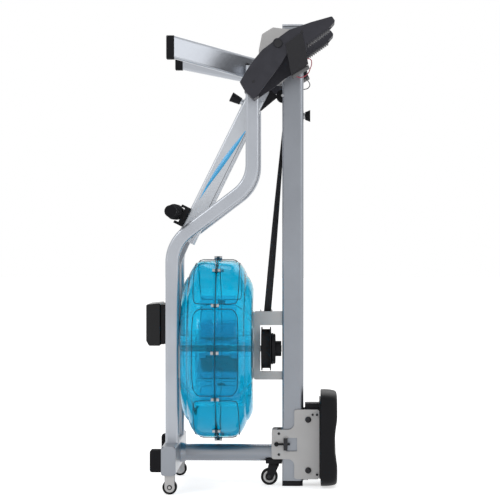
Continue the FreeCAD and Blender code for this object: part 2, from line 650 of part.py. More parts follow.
# Console mast, in its own frame: the foot axle at the origin and the mast hanging straight down
def make_mast():
    deep = "mast_deep/2"
    yoke = prism("XZ", rectangle("-" + deep, deep, "-mast_start", "-yoke_start"),
                 "-arm_inner - arm_thick", "arm_inner + arm_thick", {"5": None})
    arms = []
    for low, high in both_sides("arm_inner", "arm_inner + arm_thick"):
        plate = box(("-arm_wide/2", "arm_wide/2"), (low, high), ("-yoke_start", "0"))
        arms.append(join(plate, rod("Y", ("0", "0"), low, high, "arm_wide/2")))
    hole = rod("Y", ("0", "0"), "-arm_inner - 10", "arm_inner + 10", "axle_radius + run_fit")
    keep(cut(join(yoke, *arms), hole), "mast_yoke", MAST_FRAME)
    outline = rectangle("-" + deep, deep, "-mast_wide/2", "mast_wide/2")
    tube = prism("XY", outline, "-mast_end", "-mast_start", {"mast_round": None})
    bore = box(("-mast_deep/2 + tube_wall", "mast_deep/2 - tube_wall"),
               ("-mast_wide/2 + tube_wall", "mast_wide/2 - tube_wall"), ("-mast_end - 1", "-mast_start + 1"))
    inlet = box(("mast_deep/2 - tube_wall - 1", "mast_deep/2 + 1"), ("-strap_wide/2 - 1", "strap_wide/2 + 1"),
                ("-mast_start - 22", "-mast_start - 6"))
    outlet = box(("-mast_deep/2 - 1", "-mast_deep/2 + tube_wall + 1"),
                 ("-strap_wide/2 - 1", "strap_wide/2 + 1"), ("-handle_place - 6", "-handle_place + 6"))
    stem = rod("X", ("0", "-pin_place"), "-mast_deep/2 - 1", "-mast_deep/2 + tube_wall + 1",
               "knob_pin + knob_fit")
    ferrule = cut(rod("X", ("0", "-pin_place"), "-mast_deep/2 - pin_stem", "-mast_deep/2", "8"),
                  rod("X", ("0", "-pin_place"), "-mast_deep", "mast_deep", "knob_pin + knob_fit"))
    keep(group(cut(tube, bore, inlet, outlet, stem), ferrule), "mast_tube", MAST_FRAME)
    # A black gusset beside the strap's way in, on the mast's right face
    gusset = [("mast_deep/2", "-mast_start - 26"), ("mast_deep/2", "-yoke_start + 6"),
              ("mast_deep/2 + 26", "-yoke_start - 2")]
    sides = [prism("XZ", gusset, *pair) for pair in both_sides("pulley_wide/2 + 1", "pulley_wide/2 + 4")]
    strap = box(("-mast_deep/2 + tube_wall", "-mast_deep/2 + tube_wall + strap_thick"),
                ("-strap_wide/2", "strap_wide/2"), ("-handle_place + 8", "-pin_place - 14"))
    keep(strap, "strap_inner", MAST_FRAME)
    # Pop pin with its knob on the mast's left face
    knob = rod("X", ("0", "-pin_place"), "-mast_deep/2 - pin_stem - 0.4 - pin_knob_long",
               "-mast_deep/2 - pin_stem - 0.4", "pin_knob_radius", "pin_knob_radius - 4")
    pin = rod("X", ("0", "-pin_place"), "-mast_deep/2 - pin_stem - 4", "-mast_deep/2 + tube_wall + 8", "4")
    keep(join(knob, pin), "mast_pin_knob", MAST_FRAME)
    # Rest that holds the pull handle
    back = box(("-mast_deep/2 - rest_thick", "-mast_deep/2"), ("-rest_half", "rest_half"),
               ("-handle_place - hub_grip_radius - 7", "-handle_place + hub_grip_radius + 7"))
    lips = []
    for low, high in (("-handle_place - hub_grip_radius - 7", "-handle_place - hub_grip_radius - seat_gap"),
                      ("-handle_place + hub_grip_radius + seat_gap", "-handle_place + hub_grip_radius + 7")):
        lips.append(box(("-mast_deep/2 - rest_thick - rest_lip", "-mast_deep/2 - rest_thick"),
                        ("-rest_half", "rest_half"), (low, high)))
    gate = box(("-mast_deep", "0"), ("-strap_wide/2 - 1", "strap_wide/2 + 1"),
               ("-handle_place - 6", "-handle_place + 6"))
    keep(group(cut(join(back, *lips), gate), *sides), "handle_rest", MAST_FRAME)
    # Neck from the mast's end to the monitor, in the machine's own frame
    lean = math.radians(size("mast_lean"))
    down = V(-math.sin(lean), 0, -math.cos(lean))
    left = V(-math.cos(lean), 0, math.sin(lean))
    tip = V(size("axle_x"), 0, size("axle_z")) + down * size("mast_end")
    first = tip + left * (size("mast_deep") / 2)
    second = tip - left * (size("mast_deep") / 2 - 14)
    half = size("neck_wide") / 2
    x_left = size("neck_left")
    x_right = x_left + size("neck_deep")
    low = size("neck_low")
    corners = [V(first.x, -half, first.z), V(second.x, -half, second.z), V(x_right, -half, second.z - size("neck_drop")),
               V(x_right, -half, low), V(x_left, -half, low), V(x_left, -half, first.z - size("neck_drop") + 12)]
    neck = Part.Face(Part.makePolygon(corners + [corners[0]])).extrude(V(0, 2 * half, 0))
    hole = Part.makeCylinder(size("tilt_radius") + size("run_fit"), 4 * half,
                             V(size("tilt_x"), -2 * half, size("tilt_z")), V(0, 1, 0))
    pin = rod("Y", ("tilt_x", "tilt_z"), "-neck_wide/2 - 8", "neck_wide/2 + 8", "tilt_radius")
    keep(group(solid(neck.cut(hole)), pin), "mast_neck")


# Pull handle: bar, grips, hub and the strap's end
def make_handle():
    at = ("-handle_out", "-handle_place")
    bar = rod("Y", at, "-handle_half + 6", "handle_half - 6", "bar_radius")
    keep(bar, "handle_bar", MAST_FRAME)
    bore = rod("Y", at, "-handle_half + 6", "handle_half - 6", "bar_radius")
    grips = []
    for low, high in both_sides("grip_start", "handle_half"):
        grips.append(rod("Y", at, low, high, "grip_radius"))
    grips.append(rod("Y", at, "-grip_start + 8", "grip_start - 8", "hub_grip_radius"))
    keep(cut(group(*grips), bore), "handle_grips", MAST_FRAME)
    tail = box(("-handle_out + hub_grip_radius - 0.8", "-mast_deep/2 + 3"),
               ("-strap_wide/2", "strap_wide/2"), ("-handle_place - strap_thick/2", "-handle_place + strap_thick/2"))
    keep(cut(tail, rod("Y", at, "-handle_half", "handle_half", "hub_grip_radius")), "strap_end", MAST_FRAME)


# Monitor: screen side, back shell, screen, buttons and tilt pin
def make_monitor():
    high = "box_low + box_tall"
    back_x = "screen_x + front_deep"
    wide = ("-box_wide/2", "box_wide/2")
    front = [("screen_x", "box_low + 14"), ("screen_x + 8", "box_low"), (back_x, "box_low"),
             (back_x, high), ("screen_x", high + " - 4")]
    screen = box(("screen_x - 1", "screen_x + 2"), ("-box_wide/2 + 22", "box_wide/2 - 22"),
                 ("box_low + 42", high + " - 16"))
    holes = []
    buttons = []
    for index in range(int(size("button_count"))):
        y = "-54 + 108 * %d / (button_count - 1)" % index
        holes.append(rod("X", (y, "box_low + 26"), "screen_x - 1", "screen_x + 10", "button_radius + 0.3"))
        buttons.append(rod("X", (y, "box_low + 26"), "screen_x - 2", "screen_x + 6", "button_radius"))
    shell = prism("XZ", front, wide[0], wide[1], {"4": [2, 3], "5": [0, 1, 4]}, "2.5")
    glass = box(("screen_x + 0.5", "screen_x + 2"), ("-box_wide/2 + 22", "box_wide/2 - 22"),
                ("box_low + 42", high + " - 16"))
    keep(group(cut(shell, screen, *holes), glass), "monitor_front")
    for index, button in enumerate(buttons):
        keep(button, "monitor_button_%d" % (index + 1))
    back = prism("XZ", rectangle(back_x, back_x + " + back_deep", "box_low + 4", high + " - 4"),
                 "-box_wide/2 + 4", "box_wide/2 - 4", {"6": [1, 2]}, "3")
    lugs = []
    for low_y, high_y in both_sides("neck_wide/2 + 0.4", "neck_wide/2 + 6"):
        plate = box((back_x + " + back_deep - 1", "tilt_x"), (low_y, high_y), ("tilt_z - 12", "tilt_z + 12"))
        lugs.append(join(plate, rod("Y", ("tilt_x", "tilt_z"), low_y, high_y, "12")))
    pin = rod("Y", ("tilt_x", "tilt_z"), "-neck_wide", "neck_wide", "tilt_radius + run_fit")
    keep(cut(join(back, *lugs), pin), "monitor_back")


# Pedals and foot straps
def make_pedals():
    outline = [("252", "1305"), ("261", "1292"), ("246", "1275"), ("183", "1231"), ("183", "1177"),
               ("123", "1141"), ("87", "1113"), ("37", "1079"), ("15", "1102"), ("1", "1126"),
               ("19", "1157"), ("41", "1189"), ("62", "1214"), ("93", "1237"), ("135", "1268"),
               ("195", "1289")]
    for side, label in ((-1, "near"), (1, "far")):
        pair = both_sides("axle_half - pedal_end - pedal_wide", "axle_half - pedal_end")[0 if side < 0 else 1]
        plate = prism("XZ", about_axle(outline, "pedal_long", 310), pair[0], pair[1], {"10": [13, 14], "14": [10, 11, 12], "5": [0, 1, 7, 8]},
                      "2.5")
        hole = rod("Y", ("axle_x", "axle_z"), "-axle_half - 1", "axle_half + 1", "axle_radius + run_fit")
        inner = "%d * (axle_half - pedal_end - pedal_wide + 12)" % side
        outer = "%d * (axle_half - pedal_end - 9)" % side
        low, high = (outer, inner) if side < 0 else (inner, outer)
        # Foot well between the pedal's side walls, open toward the user
        well = [("275", "1290"), ("238", "1278"), ("188", "1245"), ("124", "1206"), ("64", "1140"),
                ("48", "1106"), ("60", "1060"), ("190", "1130")]
        foot_well = prism("XZ", about_axle(well, "pedal_long", 310), low, high)
        # The outer wall stops short of the open side
        notch = [("133", "1209"), ("113", "1175"), ("84", "1136"), ("61", "1105"), ("46", "1086"),
                 ("60", "1050"), ("210", "1100"), ("210", "1209")]
        edge_y = "%d * (axle_half - pedal_end + 1)" % side
        wall_y = outer
        notch_low, notch_high = (edge_y, wall_y) if side < 0 else (wall_y, edge_y)
        wall_notch = prism("XZ", about_axle(notch, "pedal_long", 310), notch_low, notch_high)
        head = rod("Y", ("axle_x", "axle_z"), "-axle_half", "axle_half", "nut_radius + 1")
        recess = cut(head, box(("axle_x - 3 * nut_radius", "axle_x + 3 * nut_radius"),
                               ("-axle_half + nut_thick + 0.4", "axle_half - nut_thick - 0.4"),
                               ("axle_z - 3 * nut_radius", "axle_z + 3 * nut_radius")))
        boss_low = "%d * (axle_half - pedal_end - 1)" % side
        boss_high = "%d * (axle_half - pedal_end - pedal_wide)" % side
        bosses = (boss_low, boss_high) if side < 0 else (boss_high, boss_low)
        hub = rod("Y", ("axle_x", "axle_z"), bosses[0], bosses[1], "nut_radius + 4")
        keep(cut(join(cut(plate, foot_well, wall_notch), hub), hole, recess), "pedal_" + label)
        band = [("126", "1230"), ("170", "1261"), ("188", "1174"), ("141", "1146")]
        low = "%d * (axle_half - pedal_end + 3)" % side
        high = "%d * (axle_half - pedal_end + 0.4)" % side
        strap_low, strap_high = (low, high) if side < 0 else (high, low)
        side_band = prism("XZ", about_axle(band, "pedal_long", 310), strap_low, strap_high)
        over_low = "%d * (axle_half - pedal_end + 3)" % side
        over_high = "%d * (axle_half - pedal_end - pedal_wide - 3)" % side
        over_low, over_high = (over_low, over_high) if side < 0 else (over_high, over_low)
        over = prism("XZ", about_axle([("141", "1146"), ("188", "1174"), ("190", "1170"), ("143", "1142")],
                                      "pedal_long", 310), over_low, over_high)
        keep(join(side_band, over), "foot_strap_" + label)


# Seat carriage: side plates, rollers, axles, cross bar and lock knob
def make_carriage():
    outline = [("148", "217"), ("cheek_right", "217"), ("cheek_right", "20"), ("148", "21"),
               ("148", "77"), ("84", "77"), ("84", "160"), ("148", "160")]
    inner = "rail_wide/2 + cheek_gap"
    outer = "rail_wide/2 + cheek_gap + cheek_thick"
    high_x = "rail_left + rail_deep + roller_radius + roller_gap"
    low_x = "rail_left - under_radius - roller_gap"
    window = box(("125", "156"), ("-rail_wide", "rail_wide"), ("99", "137"))
    holes = []
    for x, z in ((high_x, "roller_high_z"), (high_x, "roller_low_z"), (low_x, "under_high_z"),
                 (low_x, "under_low_z")):
        holes.append(rod("Y", (x, z), "-rail_wide", "rail_wide", "pin_radius"))
    plates = []
    for low, high in both_sides(inner, outer):
        plate = prism("XZ", outline, low, high, {"18": [4, 7], "7": [0, 1, 2, 3, 5, 6]})
        plates.append(cut(plate, window, *holes))
    keep(group(*plates), "carriage_plates")
    for z, label in (("roller_high_z", "seat_roller_high"), ("roller_low_z", "seat_roller_low")):
        wheel = rod("Y", (high_x, z), "-rail_wide/2 + 6", "rail_wide/2 - 6", "roller_radius")
        bore = rod("Y", (high_x, z), "-rail_wide", "rail_wide", "pin_radius + run_fit")
        keep(cut(wheel, bore), label)
    for z, label in (("under_high_z", "under_rollers_high"), ("under_low_z", "under_rollers_low")):
        bore = rod("Y", (low_x, z), "-rail_wide", "rail_wide", "pin_radius + run_fit")
        pair = [rod("Y", (low_x, z), low, high, "under_radius")
                for low, high in both_sides("upright_radius + 3", inner + " - 1")]
        keep(cut(group(*pair), bore), label)
    axles = []
    for x, z in ((high_x, "roller_high_z"), (high_x, "roller_low_z"), (low_x, "under_high_z"),
                 (low_x, "under_low_z")):
        start = "0" if x == high_x else "upright_radius + 2"
        for side in (-1, 1):
            end = outer + " + 4" if x == high_x else outer
            low, high = (start, end) if side > 0 else ("-(%s)" % end, "-(%s)" % start)
            pin = rod("Y", (x, z), low, high, "pin_radius")
            head_low, head_high = both_sides(outer, outer + " + 4")[0 if side < 0 else 1]
            if x == high_x:
                pin = join(pin, rod("Y", (x, z), head_low, head_high, "bolt_head"))
            axles.append(pin)
    # Holder of the lock pin on the near plate's outer face
    holder = box(("118", "129"), ("-(%s) - 14" % outer, "-(%s)" % outer), ("lock_z - 17", "lock_z + 17"))
    pin_y = "-(%s) - 7" % outer
    axles.append(cut(holder, rod("X", (pin_y, "lock_z"), "100", "140", "knob_pin - 1 + knob_fit")))
    keep(group(*axles), "roller_axles")
    radius = size("lock_ball")
    stem = size("knob_pin") - 1
    reach = math.sqrt(radius * radius - stem * stem)
    start = size("lock_ball_x")
    turn = [Part.Arc(V(start - radius, 0, 0), V(start, 0, radius), V(start + reach, 0, stem)).toShape(),
            Part.LineSegment(V(start + reach, 0, stem), V(start + 38, 0, stem)).toShape(),
            Part.LineSegment(V(start + 38, 0, stem), V(start + 38, 0, 0)).toShape(),
            Part.LineSegment(V(start + 38, 0, 0), V(start - radius, 0, 0)).toShape()]
    knob = Part.Face(Part.Wire(turn)).revolve(V(0, 0, 0), V(1, 0, 0), 360)
    knob.translate(V(0, number(pin_y), size("lock_z")))
    formed("seat_lock_knob", knob)


def seat_outline(share, inset):
    """The cushion's outline in the YZ plane: a saddle drawn in between its corners."""
    half = size("seat_wide") / 2 - inset
    low = size("seat_low") + inset
    high = size("seat_high") - inset
    middle = (low + high) / 2
    x = size("cheek_right") + size("pan_thick") + size("seat_thick") * share
    points = []
    count = 36
    for index in range(count):
        angle = 2 * math.pi * index / count
        c = math.cos(angle)
        s = math.sin(angle)
        y = math.copysign(abs(c) ** 0.55, c) * half
        z = math.copysign(abs(s) ** 0.6, s) * (high - low) / 2 + middle
        waist = 1 - 0.10 * math.exp(-((z - middle - 0.264 * (high - low)) / (0.15 * (high - low))) ** 2)
        points.append(V(x, y * waist, z))
    curve = Part.BSplineCurve()
    curve.interpolate(points, PeriodicFlag=True)
    return Part.Wire([curve.toShape()])


# Seat cushion, pan and bumper
def make_seat():
    sections = [seat_outline(0.0, 4.0), seat_outline(0.25, 0.0), seat_outline(0.55, 0.5),
                seat_outline(0.85, 5.0), seat_outline(1.0, 13.0)]
    cushion = Part.makeLoft(sections, True, False)
    far = size("cheek_right") + size("pan_thick") + size("seat_thick")
    middle = (size("seat_low") + size("seat_high")) / 2
    # The saddle's dip runs across the seat
    radius = size("dip_radius")
    wide = 1.6 * size("seat_wide")
    dip = Part.makeCylinder(radius, wide, V(far + radius - size("dip_deep"), -wide / 2, middle - 8), V(0, 1, 0))
    formed("seat_cushion", cushion.cut(dip))
    pan = prism("YZ", rectangle("-seat_wide/2 + 30", "seat_wide/2 - 30", "seat_low + 22", "seat_high - 22"),
                "cheek_right", "cheek_right + pan_thick", {"24": None})
    bumper = prism("XZ", rectangle("rail_left + rail_deep + 4", "cheek_right", "218", "234"), "-30", "30",
                   {"3": [0, 3]})
    keep(group(pan, bumper), "seat_pan")


# Fixed casters at the base bar's ends
def make_fixed_casters():
    top = "base_z - base_tall/2"
    forks = []
    for side in (-1, 1):
        centre = "%d * (base_half - wheel_in)" % side
        roof = box(("tube_low_x - fork_deep/2", "tube_low_x + fork_deep/2"),
                   (centre + " - wheel_wide/2 - 5", centre + " + wheel_wide/2 + 5"),
                   (top + " - fork_thick", top))
        cheeks = []
        for shift in ("-wheel_wide/2 - 5", "wheel_wide/2 + 5 - fork_thick"):
            low = centre + " + " + shift if not shift.startswith("-") else centre + " " + shift
            plate = box(("tube_low_x - fork_deep/2", "tube_low_x + fork_deep/2"),
                        (low, low + " + fork_thick"), ("wheel_radius", top))
            cheeks.append(join(plate, rod("Y", ("tube_low_x", "wheel_radius"), low, low + " + fork_thick",
                                          "fork_deep/2")))
        hole = rod("Y", ("tube_low_x", "wheel_radius"), centre + " - 40", centre + " + 40", "pin_radius")
        forks.append(cut(join(roof, *cheeks), hole))
    pins = []
    for side, label in ((-1, "caster_wheel_near"), (1, "caster_wheel_far")):
        centre = "%d * (base_half - wheel_in)" % side
        wheel = rod("Y", ("tube_low_x", "wheel_radius"), centre + " - wheel_wide/2",
                    centre + " + wheel_wide/2", "wheel_radius")
        bore = rod("Y", ("tube_low_x", "wheel_radius"), centre + " - 40", centre + " + 40",
                   "pin_radius + run_fit")
        keep(cut(wheel, bore), label)
        pin = rod("Y", ("tube_low_x", "wheel_radius"), centre + " - wheel_wide/2 - 9",
                  centre + " + wheel_wide/2 + 9", "pin_radius")
        pins.append(pin)
    keep(group(*forks, *pins), "caster_forks")


# Swivel caster under the rear upright
def make_swivel_caster():
    plate_low = "base_z - upright_radius - 6"
    saddle = box(("swivel_x - 23", "swivel_x + 23"), ("-23", "23"), (plate_low, "base_z - upright_radius + 6"))
    keep(cut(saddle, rod("X", ("0", "base_z"), "0", "rail_left", "upright_radius")), "swivel_plate")
    crown = rod("Z", ("swivel_x", "0"), plate_low + " - 6", plate_low + " - 0.3", "15")
    wheel_x = "swivel_x - swivel_trail"
    cheeks = []
    for low, high in both_sides("castor_wide/2 + 1.5", "castor_wide/2 + 4.5"):
        outline = [(wheel_x + " - 9", "castor_radius - 9"), (wheel_x + " + 9", "castor_radius - 9"),
                   ("swivel_x + 14", plate_low + " - 6"), ("swivel_x - 16", plate_low + " - 6")]
        cheeks.append(prism("XZ", outline, low, high, {"3": None}))
    roof = box(("swivel_x - 16", "swivel_x + 14"), ("-castor_wide/2 - 4.5", "castor_wide/2 + 4.5"),
               (plate_low + " - 9", plate_low + " - 6"))
    hole = rod("Y", (wheel_x, "castor_radius"), "-30", "30", "pin_radius")
    fork_pin = rod("Y", (wheel_x, "castor_radius"), "-castor_wide/2 - 7", "castor_wide/2 + 7", "pin_radius")
    keep(group(cut(join(crown, roof, *cheeks), hole), fork_pin), "swivel_fork")
    wheel = rod("Y", (wheel_x, "castor_radius"), "-castor_wide/2", "castor_wide/2", "castor_radius")
    keep(cut(wheel, rod("Y", (wheel_x, "castor_radius"), "-30", "30", "pin_radius + run_fit")),
         "swivel_wheel")


# Pull knob on the rail's upper side in use
def make_rail_knob():
    face = "rail_left + rail_deep"
    knob = rod("X", ("0", "rail_knob_z"), face + " + 4.4", face + " + 19", "11", "17")
    pin = rod("X", ("0", "rail_knob_z"), face + " - rail_wall - 8", face + " + 6", "knob_pin")
    keep(join(knob, pin), "rail_knob")


def lead_tube(points):
    """A thin lead along straight runs joined by tangent arcs as large as the runs allow."""
    radii = []
    for index in range(1, len(points) - 1):
        back = points[index - 1] - points[index]
        ahead = points[index + 1] - points[index]
        half_turn = (math.pi - back.getAngle(ahead)) / 2
        radii.append(0.45 * min(back.Length, ahead.Length) / math.tan(half_turn))
    spine = Part.Wire(rounded_path(points, radii))
    start = (points[1] - points[0]).normalize()
    section = Part.Wire([Part.Circle(points[0], start, size("lead_radius")).toShape()])
    tube = spine.makePipeShell([section], True, False)
    expected = math.pi * size("lead_radius") ** 2 * spine.Length
    print("lead length %.1f, least radius %.1f, volume share %.4f"
          % (spine.Length, min(radii), tube.Volume / expected))
    return tube


RED_ROUTE = [V(136, -49, 1182), V(137, -62, 1180), V(141, -68, 1166), V(151, -69, 1155),
             V(164, -64, 1151), V(178, -56, 1155), V(189, -46, 1166), V(193, -34, 1180),
             V(197, -21, 1190), V(197, -19, 1202.7), V(191.7, -18, 1208), V(184.3, -17, 1208),
             V(179, -17, 1202.7), V(179, -17, 1194)]
BLACK_ROUTE = [V(179, -17, 1159.6), V(182, -17, 1150), V(189, -14, 1143), V(193, -10, 1134),
               V(188, -6, 1126), V(182, -5, 1123), V(174, -5, 1122)]


# Red and black leads and the connector between them
def make_leads():
    formed("red_lead", lead_tube(RED_ROUTE))
    formed("black_lead", lead_tube(BLACK_ROUTE))
    keep(prism("XY", rectangle("176", "182", "-20", "-14"), "1160", "1194", {"1.5": None}), "lead_connector")


make_rail()
make_head()
make_base(make_legs())
make_tubes()
make_tank()
make_impeller()
make_spool()
make_strap()
make_mast()
make_handle()
make_monitor()
make_pedals()
make_carriage()
make_seat()
make_fixed_casters()
make_swivel_caster()
make_rail_knob()
make_leads()
doc.recompute()

for item in doc.Objects:
    if "Invalid" in item.State or "Error" in item.State:
        raise RuntimeError("failed: " + item.Name + " " + item.Label + " " + str(item.State))
for node in NODES:
    if node.Shape.isNull() or not node.Shape.isValid():
        raise RuntimeError("bad shape: " + node.Label)
    if not node.Shape.Solids:
        raise RuntimeError("no solid: " + node.Label)

os.makedirs("parts", exist_ok=True)
for node in NODES:
    node.Shape.exportStep("parts/" + node.Label + ".step")
print("nodes", len(NODES))
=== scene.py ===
import bpy
import bmesh
import json
import math
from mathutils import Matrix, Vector


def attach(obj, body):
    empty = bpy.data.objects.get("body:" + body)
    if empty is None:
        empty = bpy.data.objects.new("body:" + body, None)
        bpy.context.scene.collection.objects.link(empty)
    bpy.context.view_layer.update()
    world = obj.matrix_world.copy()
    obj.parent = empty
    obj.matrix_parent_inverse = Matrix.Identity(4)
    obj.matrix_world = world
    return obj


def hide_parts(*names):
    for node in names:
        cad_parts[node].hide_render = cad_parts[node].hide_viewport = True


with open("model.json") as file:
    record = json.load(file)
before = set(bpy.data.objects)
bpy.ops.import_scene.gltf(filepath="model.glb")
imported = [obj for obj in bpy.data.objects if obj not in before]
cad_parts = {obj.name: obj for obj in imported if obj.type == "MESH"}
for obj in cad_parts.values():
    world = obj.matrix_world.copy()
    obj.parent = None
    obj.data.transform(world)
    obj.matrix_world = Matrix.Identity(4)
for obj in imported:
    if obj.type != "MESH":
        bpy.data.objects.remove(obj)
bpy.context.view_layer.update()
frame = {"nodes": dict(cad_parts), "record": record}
NODES = frame["nodes"]
MM = 0.001
LEAN = math.radians(26.3)
AXLE = Vector((0.105, 0.0, 1.231))
TANK_X = -68
TANK_Z = 387
GRIP = (-63, 0, -540)
STRAP_WIDE = 0.0205
RIM_REACH = 256.6
LEAD_RADIUS = 1.3 * MM


def on_mast(x, y, z):
    """A point of the mast's own frame, in millimetres from the foot axle, as a place in the machine's frame."""
    turned = Vector((x * math.cos(LEAN) + z * math.sin(LEAN), y, -x * math.sin(LEAN) + z * math.cos(LEAN)))
    return AXLE + turned * MM


def hexed(text):
    parts = [int(text[i:i + 2], 16) / 255 for i in (0, 2, 4)]
    return tuple(p / 12.92 if p <= 0.04045 else ((p + 0.055) / 1.055) ** 2.4 for p in parts)


# Camera
def place_camera():
    data = bpy.data.cameras.new("Camera")
    data.lens = 157.2
    data.sensor_width = 36.0
    data.clip_end = 60
    camera = bpy.data.objects.new("Camera", data)
    bpy.context.scene.collection.objects.link(camera)
    camera.location = (0.193, -6.2, 0.709)
    camera.rotation_euler = (math.radians(90 - 0.39), 0, math.radians(1.58))
    bpy.context.scene.camera = camera


place_camera()


# Leads by the pedals
def lead(name, points, node):
    curve = bpy.data.curves.new(name, "CURVE")
    curve.dimensions = "3D"
    spline = curve.splines.new("NURBS")
    spline.points.add(len(points) - 1)
    for place, point in zip(spline.points, points):
        place.co = (point[0] * MM, point[1] * MM, point[2] * MM, 1)
        place.radius = LEAD_RADIUS
    spline.order_u = 3
    spline.use_endpoint_u = True
    curve.resolution_u = 8
    curve.bevel_depth = 1.0
    curve.bevel_resolution = 3
    obj = bpy.data.objects.new(name, curve)
    bpy.context.scene.collection.objects.link(obj)
    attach(obj, "root")
    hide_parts(node)
    return obj


RED = [(136, -49, 1182), (137, -62, 1180), (141, -68, 1166), (151, -69, 1155), (164, -64, 1151),
       (178, -56, 1155), (189, -46, 1166), (193, -34, 1180), (197, -21, 1190), (197, -19, 1202.7),
       (191.7, -18, 1208), (184.3, -17, 1208), (179, -17, 1202.7), (179, -17, 1194)]
BLACK = [(179, -17, 1159.6), (182, -17, 1150), (189, -14, 1143), (193, -10, 1134), (188, -6, 1126),
         (182, -5, 1123), (174, -5, 1122)]
red_lead = lead("lead_red", RED, "red_lead")
black_lead = lead("lead_black", BLACK, "black_lead")


# Materials
def material(name, colour, rough, metal=0.0, vary=0.06, scale=30.0, bump=0.0, grain=900.0, coat=0.0,
             transmission=0.0, ior=1.5, rough_vary=0.06, stretch=None, sheen=0.0, specular=0.5):
    """A finished surface: colour that drifts, roughness that drifts and a fine grain in relief."""
    mat = bpy.data.materials.new(name)
    mat.use_nodes = True
    tree = mat.node_tree
    shader = tree.nodes["Principled BSDF"]
    shader.inputs["Metallic"].default_value = metal
    shader.inputs["Coat Weight"].default_value = coat
    shader.inputs["Coat Roughness"].default_value = 0.12
    shader.inputs["Transmission Weight"].default_value = transmission
    shader.inputs["IOR"].default_value = ior
    shader.inputs["Sheen Weight"].default_value = sheen
    shader.inputs["Specular IOR Level"].default_value = specular
    coords = tree.nodes.new("ShaderNodeTexCoord")
    mapping = tree.nodes.new("ShaderNodeMapping")
    mapping.inputs["Scale"].default_value = stretch or (1, 1, 1)
    tree.links.new(coords.outputs["Object"], mapping.inputs["Vector"])
    drift = tree.nodes.new("ShaderNodeTexNoise")
    drift.inputs["Scale"].default_value = scale
    drift.inputs["Detail"].default_value = 5
    tree.links.new(mapping.outputs["Vector"], drift.inputs["Vector"])
    ramp = tree.nodes.new("ShaderNodeValToRGB")
    low = tuple(c * (1 - vary) for c in colour)
    high = tuple(min(c * (1 + vary), 1) for c in colour)
    ramp.color_ramp.elements[0].position = 0.3
    ramp.color_ramp.elements[1].position = 0.7
    ramp.color_ramp.elements[0].color = low + (1,)
    ramp.color_ramp.elements[1].color = high + (1,)
    tree.links.new(drift.outputs["Fac"], ramp.inputs["Fac"])
    last = ramp.outputs["Color"]
    tree.links.new(last, shader.inputs["Base Color"])
    worn = tree.nodes.new("ShaderNodeMapRange")
    worn.inputs["To Min"].default_value = max(rough - rough_vary, 0.02)
    worn.inputs["To Max"].default_value = min(rough + rough_vary, 1)
    tree.links.new(drift.outputs["Fac"], worn.inputs["Value"])
    tree.links.new(worn.outputs["Result"], shader.inputs["Roughness"])
    if bump:
        fine = tree.nodes.new("ShaderNodeTexNoise")
        fine.inputs["Scale"].default_value = grain
        fine.inputs["Detail"].default_value = 3
        tree.links.new(mapping.outputs["Vector"], fine.inputs["Vector"])
        relief = tree.nodes.new("ShaderNodeBump")
        relief.inputs["Strength"].default_value = bump
        relief.inputs["Distance"].default_value = 0.0004
        tree.links.new(fine.outputs["Fac"], relief.inputs["Height"])
        tree.links.new(relief.outputs["Normal"], shader.inputs["Normal"])
    return mat


def woven(name, colour, pitch=0.0016):
    """Webbing: a small over-and-under weave in relief."""
    mat = material(name, colour, 0.82, vary=0.12, scale=60, sheen=0.25)
    tree = mat.node_tree
    shader = tree.nodes["Principled BSDF"]
    coords = tree.nodes["Texture Coordinate"]
    bands = []
    for direction in ("X", "Z"):
        wave = tree.nodes.new("ShaderNodeTexWave")
        wave.wave_type = "BANDS"
        wave.bands_direction = direction
        wave.inputs["Scale"].default_value = 0.314 / pitch
        wave.inputs["Distortion"].default_value = 0.6
        tree.links.new(coords.outputs["Object"], wave.inputs["Vector"])
        bands.append(wave)
    both = tree.nodes.new("ShaderNodeMath")
    both.operation = "MAXIMUM"
    tree.links.new(bands[0].outputs["Fac"], both.inputs[0])
    tree.links.new(bands[1].outputs["Fac"], both.inputs[1])
    relief = tree.nodes.new("ShaderNodeBump")
    relief.inputs["Strength"].default_value = 0.6
    relief.inputs["Distance"].default_value = 0.0004
    tree.links.new(both.outputs["Value"], relief.inputs["Height"])
    tree.links.new(relief.outputs["Normal"], shader.inputs["Normal"])
    return mat


